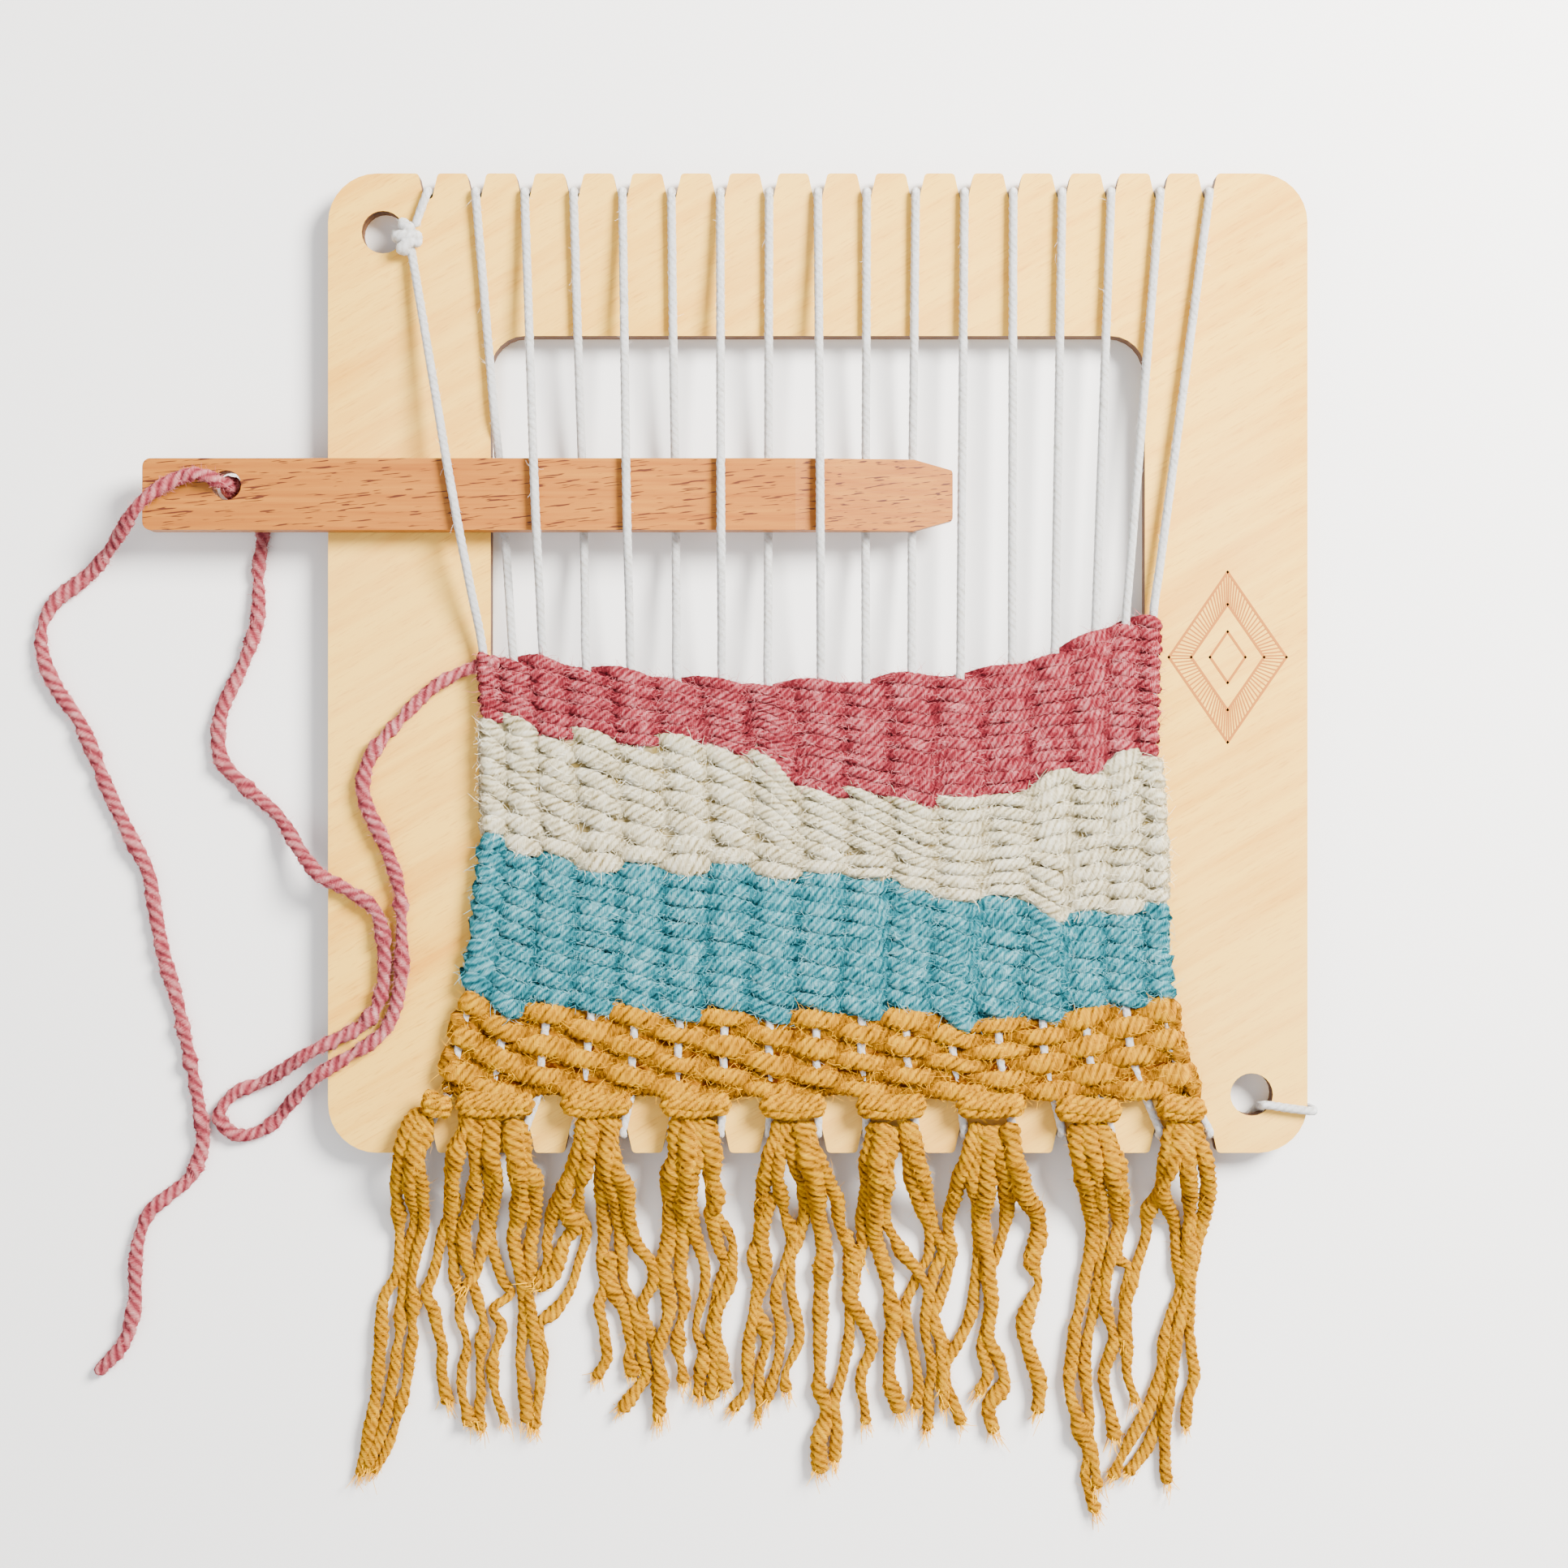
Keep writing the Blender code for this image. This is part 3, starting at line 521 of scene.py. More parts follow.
# The yarn's free tail, from the eye to the bare cut end.
TAIL_ROUTE = [
    (-119.6, 35.7, 6.7), (-119.6, 35.8, 8.8), (-120.8, 36.3, 12.3), (-124.6, 37.7, 13.7),
    (-128.4, 37.0, 13.3), (-132.8, 34.8, 13.3), (-137.0, 31.3, 13.2), (-140.8, 27.2, 9.6),
    (-144.7, 23.2, 5.6), (-148.6, 19.5, 2.6), (-152.7, 16.3, 1.5), (-157.0, 12.9, 1.4), (-159.7, 7.9, 1.4),
    (-159.6, 1.8, 1.4), (-156.8, -5.0, 1.4), (-152.3, -11.5, 1.4), (-149.1, -18.5, 1.4),
    (-146.1, -26.2, 1.4), (-141.8, -35.1, 1.4), (-138.0, -42.8, 1.4), (-136.6, -50.2, 1.4),
    (-134.8, -59.5, 1.4), (-132.0, -69.2, 1.4), (-129.7, -79.5, 1.4), (-127.7, -89.6, 1.4),
    (-126.6, -98.1, 1.4), (-128.9, -105.3, 1.4), (-133.6, -109.4, 1.4), (-137.8, -113.2, 1.4),
    (-140.1, -119.5, 1.4), (-140.6, -126.5, 1.4), (-140.8, -133.0, 1.4), (-143.2, -140.3, 1.4),
    (-148.7, -146.3, 1.4),
]


def free_yarn(name, route, body, look):
    """A loosely spun yarn, uneven along its length, that opens out to fill the needle's eye."""
    path = smooth_line(world(route), 0.35 * MM)
    from_eye = np.linalg.norm(path - world([EYE_PLACE])[0], axis=1) / MM
    uneven = 1.04 + wander(len(path), 7, 0.12)
    in_eye = soft_step((EYE_SWELL_STARTS - from_eye) / (EYE_SWELL_STARTS - EYE_SWELL_FULL))
    radius = YARN / 2 * (uneven + in_eye)
    path[:, 2] = np.maximum(path[:, 2], radius)
    yarn = Yarn()
    rings, line = yarn.tube(path, radius, radius, FREE_SPIN, 18, level=False, rough=0.06)
    yarn.fibres(rings, line, 16.0, 1.0 * MM)
    return yarn.piece(f"pink_{name}", look, body, [name]), path


def make_free_yarn(look):
    working, path = free_yarn("working_yarn", WORKING_ROUTE, None, look)
    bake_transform(working)
    tail, path = free_yarn("yarn_tail", TAIL_ROUTE, "needle", look)


# ---- the warp ----


def centre_line(node):
    """The middle of each ring of a run's CAD mesh, ordered down the loom."""
    verts = np.array([v.co for v in frame["nodes"][node].data.vertices])
    heights = np.round(verts[:, 1] / (0.05 * MM))
    rings = [verts[heights == height] for height in np.unique(heights)[::-1]]
    return np.array([(ring.min(0) + ring.max(0)) / 2 for ring in rings])


LONGEST_STEP = 9 * MM  # between two points of a run
STRING_FIBRE = 0.035 * MM
RUNS = {number: centre_line(f"warp_run_{number:02d}") for number in range(1, NOTCHES + 1)}


def string_tube(name, points, look, node, level=True):
    yarn = Yarn()
    path = smooth_line(points, 0.5 * MM, 24)
    rings, line = yarn.tube(path, STRING / 2, STRING / 2, STRING_SPIN, 9, level, rough=0.02)
    yarn.fibres(rings, line, 0.5, 1.6 * MM, STRING_FIBRE)
    yarn.piece(name, look, "loom", [node])


def knot_exit():
    """Where the first run leaves the starting knot: under the knot's middle."""
    low, high = np.array(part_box("warp_start_knot"))
    return ((low[0] + high[0]) / 2 + 0.3 * MM, (low[1] + high[1]) / 2 - 0.6 * MM, FACE_STRING)


def into_notch(x, sign):
    """The string's last bend, from over the board's face down into a notch."""
    y = LOOM_Y + sign * LEG_Y
    return [(x, y - sign * 1.2 * MM, FACE_STRING), (x, y - sign * 0.35 * MM, FACE_STRING - 0.3 * MM),
            (x, y, FACE_STRING - 1.3 * MM), (x, y, FACE_STRING - 2.4 * MM)]


def make_runs(look):
    for number, line in RUNS.items():
        inner = line[1:-1]
        points = [knot_exit()] if number == 1 else into_notch(line[0][0], 1)[::-1]
        for start, end in zip([points[-1], *inner[:-1]], inner):
            steps = max(1, int(np.linalg.norm(end - start) / LONGEST_STEP))
            points += [tuple(start + (end - start) * step / steps) for step in range(1, steps + 1)]
        points += into_notch(line[-1][0], -1)
        string_tube(f"string_run_{number:02d}", points, look, f"warp_run_{number:02d}")


def notch_x(number):
    return RUNS[number][-1][0]


def make_turns(look):
    """Behind the board the string passes round every second tooth."""
    behind = BACK - STRING / 2 - STRING_ROOM
    bend = 0.9 * MM
    ease = bend * 0.3
    deep = FACE - 0.5 * MM
    leaves = BACK + 1 * MM
    for side, sign, first in (("bottom", -1, 1), ("top", 1, 2)):
        for number in range(first, NOTCHES, 2):
            y = LOOM_Y + sign * LEG_Y
            left, right = notch_x(number), notch_x(number + 1)
            points = [(left, y, deep), (left, y, leaves), (left + ease, y, behind + ease),
                      (left + bend, y, behind), ((left + right) / 2, y, behind), (right - bend, y, behind),
                      (right - ease, y, behind + ease), (right, y, leaves), (right, y, deep)]
            tooth = f"turn_{side}_{number:02d}"
            string_tube(f"string_{tooth}", points, look, f"warp_{tooth}", level=False)


def make_warp_ends(look):
    """The knotted start beside the top left hole, and the end that wraps over the right edge."""
    behind = BACK - STRING / 2 - STRING_ROOM
    top = FACE_STRING / MM
    low = behind / MM
    first_x = (notch_x(1) - LOOM_X) / MM
    last_x = (notch_x(NOTCHES) - LOOM_X) / MM
    loop = [(-82.0, 88.6, top + 0.6), (-81.2, 91.5, top), (first_x - 0.3, 95.0, top),
            (first_x, 96.4, top - 1.0), (first_x, 96.4, low + 1.0), (first_x - 0.8, 95.6, low),
            (-83.5, 91.5, low), (-86.2, 88.2, low + 0.4), (-86.4, 87.6, low + 3.0), (-86.0, 87.3, top + 0.2),
            (-84.5, 87.0, top + 1.0)]
    string_tube("string_start_loop", world(loop), look, "warp_start_loop", level=False)
    make_start_knot(look)
    edge = HALF / MM + (STRING / 2 + STRING_ROOM) / MM
    tail = [(last_x, -96.3, FACE / MM - 0.5), (last_x, -96.3, low + 1.0), (last_x + 0.9, -95.8, low),
            (85.0, -95.0, low), (89.6, -92.6, low), (90.8, -91.0, low + 1.0), (90.8, -90.5, top - 1.6),
            (91.4, -90.1, top - 0.1), (95.0, -90.6, top), (edge - 0.9, -91.3, top),
            (edge - 0.2, -91.3, top - 0.5), (edge, -91.3, top - 1.6), (edge, -91.3, low + 1.4),
            (edge - 0.8, -91.4, low), (96.6, -92.0, low)]
    string_tube("string_end_tail", world(tail), look, "warp_end_tail", level=False)
    yarn = Yarn()
    turn = np.linspace(0, 2 * np.pi * 3, 60)
    height = low + 0.25 * np.sin(turn * 0.7)
    coil = np.column_stack([94.2 + 1.5 * np.cos(turn), -92.8 + 1.2 * np.sin(turn), height])
    yarn.tube(world(coil), 0.62 * MM, 0.6 * MM, STRING_SPIN, sides=8, level=False)
    yarn.piece("string_end_knot", look, "loom", ["warp_end_knot"])


def make_start_knot(look):
    """A lump of a few loose wraps that cross each other."""
    low, high = np.array(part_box("warp_start_knot"))
    centre = (low + high) / 2 - (0, 0.7 * MM, 0)
    radii = (high - low) / 2 * (1.05, 1.25, 1.0)
    thick = STRING * 0.7
    yarn = Yarn()
    for tilt, size, shift in ((0.5, 0.8, -0.5), (-0.6, 0.86, 0.45), (1.35, 0.7, 0.0), (0.1, 0.95, 0.05)):
        turn = np.linspace(0.3, 2 * np.pi * 1.15, 40)
        across = np.column_stack([np.cos(turn), shift + 0.18 * np.sin(turn / 2), 0.9 * np.sin(turn)])
        spin = np.array([[np.cos(tilt), -np.sin(tilt), 0], [np.sin(tilt), np.cos(tilt), 0], [0, 0, 1]])
        reach = radii - STRING * 0.4
        path = centre + across @ spin.T * reach * size
        path[:, 2] = np.maximum(path[:, 2], FACE + thick)
        line = smooth_line(path, 0.3 * MM, 4)
        rings, line = yarn.tube(line, thick, thick, STRING_SPIN, sides=10, level=False)
        yarn.fibres(rings, line, 3.0, 1.2 * MM, STRING_FIBRE)
    yarn.piece("string_start_knot", look, "loom", ["warp_start_knot"])


# ---- the cloth ----

# Where one band meets the next, from left to right, in millimetres from the loom's centre.
PINK_TOP = [
    (-66.9, 1.3), (-55.8, 0.5), (-47.0, -1.0), (-38.2, -2.3), (-23.1, -4.0), (-10.5, -4.6), (9.7, -3.8),
    (18.1, -2.8), (29.9, -2.8), (40.0, -0.8), (47.3, 1.7), (55.6, 5.3), (61.4, 8.1), (68.7, 8.6),
]
PINK_CREAM = [
    (-68.9, -10.3), (-60.1, -12.1), (-57.1, -14.6), (-43.0, -14.6), (-40.2, -16.6), (-27.4, -15.6),
    (-15.8, -17.7), (-9.5, -20.5), (-5.2, -25.0), (8.5, -27.0), (22.1, -28.3), (32.7, -27.8),
    (42.5, -24.9), (47.3, -22.9), (54.6, -22.4), (59.6, -19.2), (69.2, -18.1),
]
CREAM_BLUE = [
    (-67.9, -34.6), (-62.6, -37.1), (-49.8, -41.3), (-30.4, -42.3), (-16.8, -41.8), (-6.0, -43.4),
    (13.8, -43.2), (18.1, -46.6), (29.9, -48.0), (43.5, -48.4), (48.8, -52.4), (53.6, -51.2), (66.9, -49.9),
]
BLUE_MUSTARD = [
    (-71.7, -66.4), (-62.6, -70.9), (-53.3, -69.8), (-42.5, -69.9), (-28.9, -71.9), (-15.8, -70.4),
    (-10.0, -71.9), (5.1, -70.9), (25.9, -71.1), (29.9, -73.2), (49.3, -71.6), (61.9, -68.8), (71.7, -68.4),
]
MUSTARD_BOTTOM = [(-76.0, -88.4), (76.0, -88.4)]

LEFT_EDGE = 0.5  # half a step beyond the first run, counted in runs
RIGHT_EDGE = NOTCHES + 0.5
TURN_ROOM = 1.0 * MM  # from an outer run's middle to the middle of the yarn that turns round it
TURN_EARLY = 0.2  # where a pick ends between two runs, how far past its end its room closes up, in runs
TURN_EASE = 0.5  # and over how many runs it closes
FIRST_GUESS_Y = LOOM_Y - 30 * MM  # the middle of the cloth, where a search for a height starts


def line_at(line, x):
    """The height of a line between bands, in the frame's metres."""
    line = np.array(line) * MM
    return LOOM_Y + np.interp(x - LOOM_X, line[:, 0], line[:, 1])


def run_place(count, y):
    """Where a place counted in runs of the warp lies, at each height."""
    places = np.array([np.interp(y, RUNS[n][::-1, 1], RUNS[n][::-1, 0]) for n in RUNS])
    inside = np.clip(count, 1, NOTCHES)
    left = np.minimum(inside.astype(int), NOTCHES - 1) - 1
    part = inside - 1 - left
    columns = np.arange(len(count))
    x = places[left, columns] * (1 - part) + places[left + 1, columns] * part
    return x + (count - inside) * 2 * TURN_ROOM


class Band:
    """One colour of the cloth: plain weave, its picks turning round the outer runs or between two runs.

    spans lists, from the top pick down, the run counts where each pick begins and ends.
    phase is 1 where the top pick goes under the first run, and lift is how far a pick rises and dives.
    A pick's half width, in shares of its room, is snug where it dives, and swell wider where it floats.
    slant gives how far, in millimetres, its floats lean out of level.
    """

    def __init__(self, upper, lower, spans, phase, lift, thick, snug, swell, slant, spin):
        self.upper, self.lower = upper, lower
        self.spans = np.array(spans)
        self.phase, self.lift, self.thick = phase, lift, thick
        self.snug, self.swell, self.slant, self.spin = snug, swell, slant, spin

    def shares(self, count):
        """How much of its full room each pick has at each place."""
        starts, ends = self.spans[:, :1], self.spans[:, 1:]
        begun = np.where(starts <= LEFT_EDGE, 1.0, soft_step((count - starts + TURN_EARLY) / TURN_EASE))
        left = np.where(ends >= RIGHT_EDGE, 1.0, soft_step((ends - count + TURN_EARLY) / TURN_EASE))
        return begun * left

    def pick(self, number):
        """One pick from left to right, as rows of x, y, z, half width, half height and depth, a painted shade
        that darkens the pick where it dives under the warp.
        """
        start, end = self.spans[number]
        count = np.arange(start, end + 1e-6, 1 / 16)
        shares = self.shares(count)
        before = shares[:number].sum(0) + shares[number] / 2
        total = shares.sum(0)
        y = np.full(len(count), FIRST_GUESS_Y)
        for _ in range(3):
            x = run_place(count, y)
            top, bottom = line_at(self.upper, x), line_at(self.lower, x)
            y = top - (top - bottom) * before / total
        room = (top - bottom) / total
        turn = np.pi * (count + number + self.phase)
        over = np.cos(turn)
        whole = np.arange(NOTCHES + 2)
        bumps = np.interp(count, whole, random.uniform(0.84, 1.14, NOTCHES + 2))
        drift = np.interp(count, whole, random.uniform(-0.13, 0.13, NOTCHES + 2))
        proud = np.interp(count, whole, random.uniform(-0.12, 0.16, NOTCHES + 2)) * MM
        lean = self.slant(count, number / len(self.spans), number) * MM
        y = y - lean * np.sin(turn) * (0.8 + 0.4 * bumps) + drift * room
        z = CLOTH_MID + self.lift * over + proud
        float_share = ((1 + over) / 2) ** 1.2
        wide = room * (self.snug + self.swell * float_share) * bumps * np.clip(shares[number], 0.8, 1)
        high = np.full(len(count), self.thick) * np.clip(shares[number], 0.7, 1)
        # painted shade: lower where the pick dives under a run, higher where it floats
        depth = 0.3 + 0.7 * soft_step((over + 0.35) / 1.1)
        return np.column_stack([x, y, z, wide, high, depth])

    def rows(self):
        """All the picks in one run of yarn, to and fro from the top."""
        rows = [self.pick(number) for number in range(len(self.spans))]
        return np.vstack([row if number % 2 == 0 else row[::-1] for number, row in enumerate(rows)])


def full(count):
    return [(LEFT_EDGE, RIGHT_EDGE)] * count


def from_right(turn):
    """A pair of picks that comes in from the right and turns back between two runs."""
    return [(turn, RIGHT_EDGE)] * 2


def from_left(turn):
    return [(LEFT_EDGE, turn)] * 2


def cream_slant(count, depth, number):
    """Slanting on the left, a braid at the upper right, and level ropes below it."""
    left = 1.15 * (1 - soft_step((count - 10.5) / 2.5)) * (depth < 0.5)
    braid = soft_step((count - 11.5) / 1.5) * (depth < 0.45) * (0.95 if number % 2 else -0.95)
    return left + braid


def mustard_slant(count, depth, number):
    """Falling to the right, and less so towards the right edge."""
    return 0.45 - 0.7 * soft_step((count - 9) / 6)


def pink_slant(count, depth, number):
    return np.full(len(count), 0.5)


def blue_slant(count, depth, number):
    """Steeper towards the bottom."""
    return np.full(len(count), 0.4 + 0.6 * depth)


PINK_PICKS = full(11) + from_right(6.5) + from_right(7.5) * 2 + from_right(8.5) + from_right(11.5)
CREAM_PICKS = full(13) + from_right(10.5) + from_right(12.5) + from_right(14.5)
BLUE_PICKS = from_left(10.5) + from_left(12.5) + from_left(14.5) + full(12)

BANDS = {
    "pink": Band(PINK_TOP, PINK_CREAM, PINK_PICKS, phase=1, lift=1.15 * MM, thick=0.85 * MM,
                 snug=0.78, swell=0.44, slant=pink_slant, spin=FINE_SPIN),
    "cream": Band(PINK_CREAM, CREAM_BLUE, CREAM_PICKS, phase=0, lift=1.35 * MM, thick=1.05 * MM,
                  snug=0.58, swell=0.46, slant=cream_slant, spin=FAT_SPIN),
    "blue": Band(CREAM_BLUE, BLUE_MUSTARD, BLUE_PICKS, phase=1, lift=1.15 * MM, thick=0.85 * MM,
                 snug=0.80, swell=0.42, slant=blue_slant, spin=FINE_SPIN),
    "mustard": Band(BLUE_MUSTARD, MUSTARD_BOTTOM, full(6), phase=1, lift=1.0 * MM, thick=1.35 * MM,
                    snug=0.58, swell=0.14, slant=mustard_slant, spin=FAT_SPIN),
}


def make_band(name, band, look):
    yarn = Yarn()
    rows = smooth_line(band.rows(), 0.52 * MM, 3)
    swelling = 1 + wander(len(rows), 9, 0.06)
    path, wide, high, depth = rows[:, :3], rows[:, 3] * swelling, rows[:, 4], rows[:, 5]
    # depth becomes painted shade on the pick where it dives under the warp
    rings, line = yarn.tube(path, wide, high, band.spin, 12, shade=depth)
    yarn.fibres(rings, line, 7.0, 3.0 * MM, 0.08 * MM)
    return yarn.piece(f"{name}_weft", look, "loom", [f"{name}_band"])


GROUND_THICK = 0.5 * MM
GROUND_INSET = 0.8 * MM  # from the top of the pink band down to the sheet's top edge
GROUND_HEM = 2.2 * MM  # from the bottom of the mustard band down to the sheet's bottom edge


def ground_rows(columns):
    """The sheet's rows from the top down: x and y at each column, and which band the row lies in."""
    lines = [PINK_TOP, PINK_CREAM, CREAM_BLUE, BLUE_MUSTARD, MUSTARD_BOTTOM]
    rows = []
    for band, (upper, lower) in enumerate(zip(lines, lines[1:])):
        last = band == len(lines) - 2
        hem = GROUND_HEM if last else 0.0
        for part in np.linspace(0, 1, 4)[:4 if last else 3]:
            y = np.full(len(columns), FIRST_GUESS_Y)
            for _ in range(3):
                x = run_place(columns, y)
                top, bottom = line_at(upper, x), line_at(lower, x)
                y = top - GROUND_INSET + (bottom + hem - top + GROUND_INSET) * part
            rows.append((x, y, band))
    return rows


def rim(grid):
    """The border of a grid of vertex numbers, in order round it."""
    return [*grid[0], *grid[1:, -1], *grid[-1, -2::-1], *grid[-2:0:-1, 0]]


def make_ground(looks):
    """The cloth's own sheet in the middle of its thickness, hidden between the picks. Having no crest values,
    it shows each band's dark colour, painted shade where it peeks between the picks.
    """
    rows = ground_rows(np.linspace(1, NOTCHES, 33))
    deep, wide = len(rows), len(rows[0][0])
    verts = [(a, b, z) for z in (CLOTH_MID + GROUND_THICK / 2, CLOTH_MID - GROUND_THICK / 2)
             for x, y, band in rows for a, b in zip(x, y)]
    top = np.arange(deep * wide).reshape(deep, wide)
    under = top + deep * wide
    faces, marks = [], []
    for i in range(deep - 1):
        for j in range(wide - 1):
            faces.append((top[i, j], top[i + 1, j], top[i + 1, j + 1], top[i, j + 1]))
            faces.append((under[i, j], under[i, j + 1], under[i + 1, j + 1], under[i + 1, j]))
            marks += [rows[i][2]] * 2
    border, below = rim(top), rim(under)
    for i in range(len(border)):
        faces.append((border[i - 1], border[i], below[i], below[i - 1]))
        marks.append(0)
    mesh = bpy.data.meshes.new("cloth_ground")
    mesh.from_pydata([tuple(map(float, v)) for v in verts], [], [tuple(map(int, f)) for f in faces])
    for name in BANDS:
        mesh.materials.append(looks[name])
    mesh.polygons.foreach_set("material_index", marks)
    ground = add("cloth_ground", mesh)
    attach(ground, "loom")
    width = float(np.mean([x[-1] - x[0] for x, y, band in rows]))
    height = float(np.mean(rows[0][1] - rows[-1][1]))
    return ground, (width, height)


# ---- the fringe ----

# Each tassel's knot, from left to right: its left end, right end, middle height and slope.
KNOTS = [
    (-79.6, -74.8, -89.5, -1.2), (-72.6, -58.2, -89.6, 0.0), (-51.4, -38.5, -89.5, 0.0),
    (-31.1, -18.4, -89.6, 0.0), (-11.1, 0.9, -89.9, 0.0), (8.5, 21.2, -89.8, 0.0), (28.7, 41.4, -89.7, 0.0),
    (48.9, 60.7, -90.6, -0.5), (69.2, 78.0, -90.3, -1.0),
]
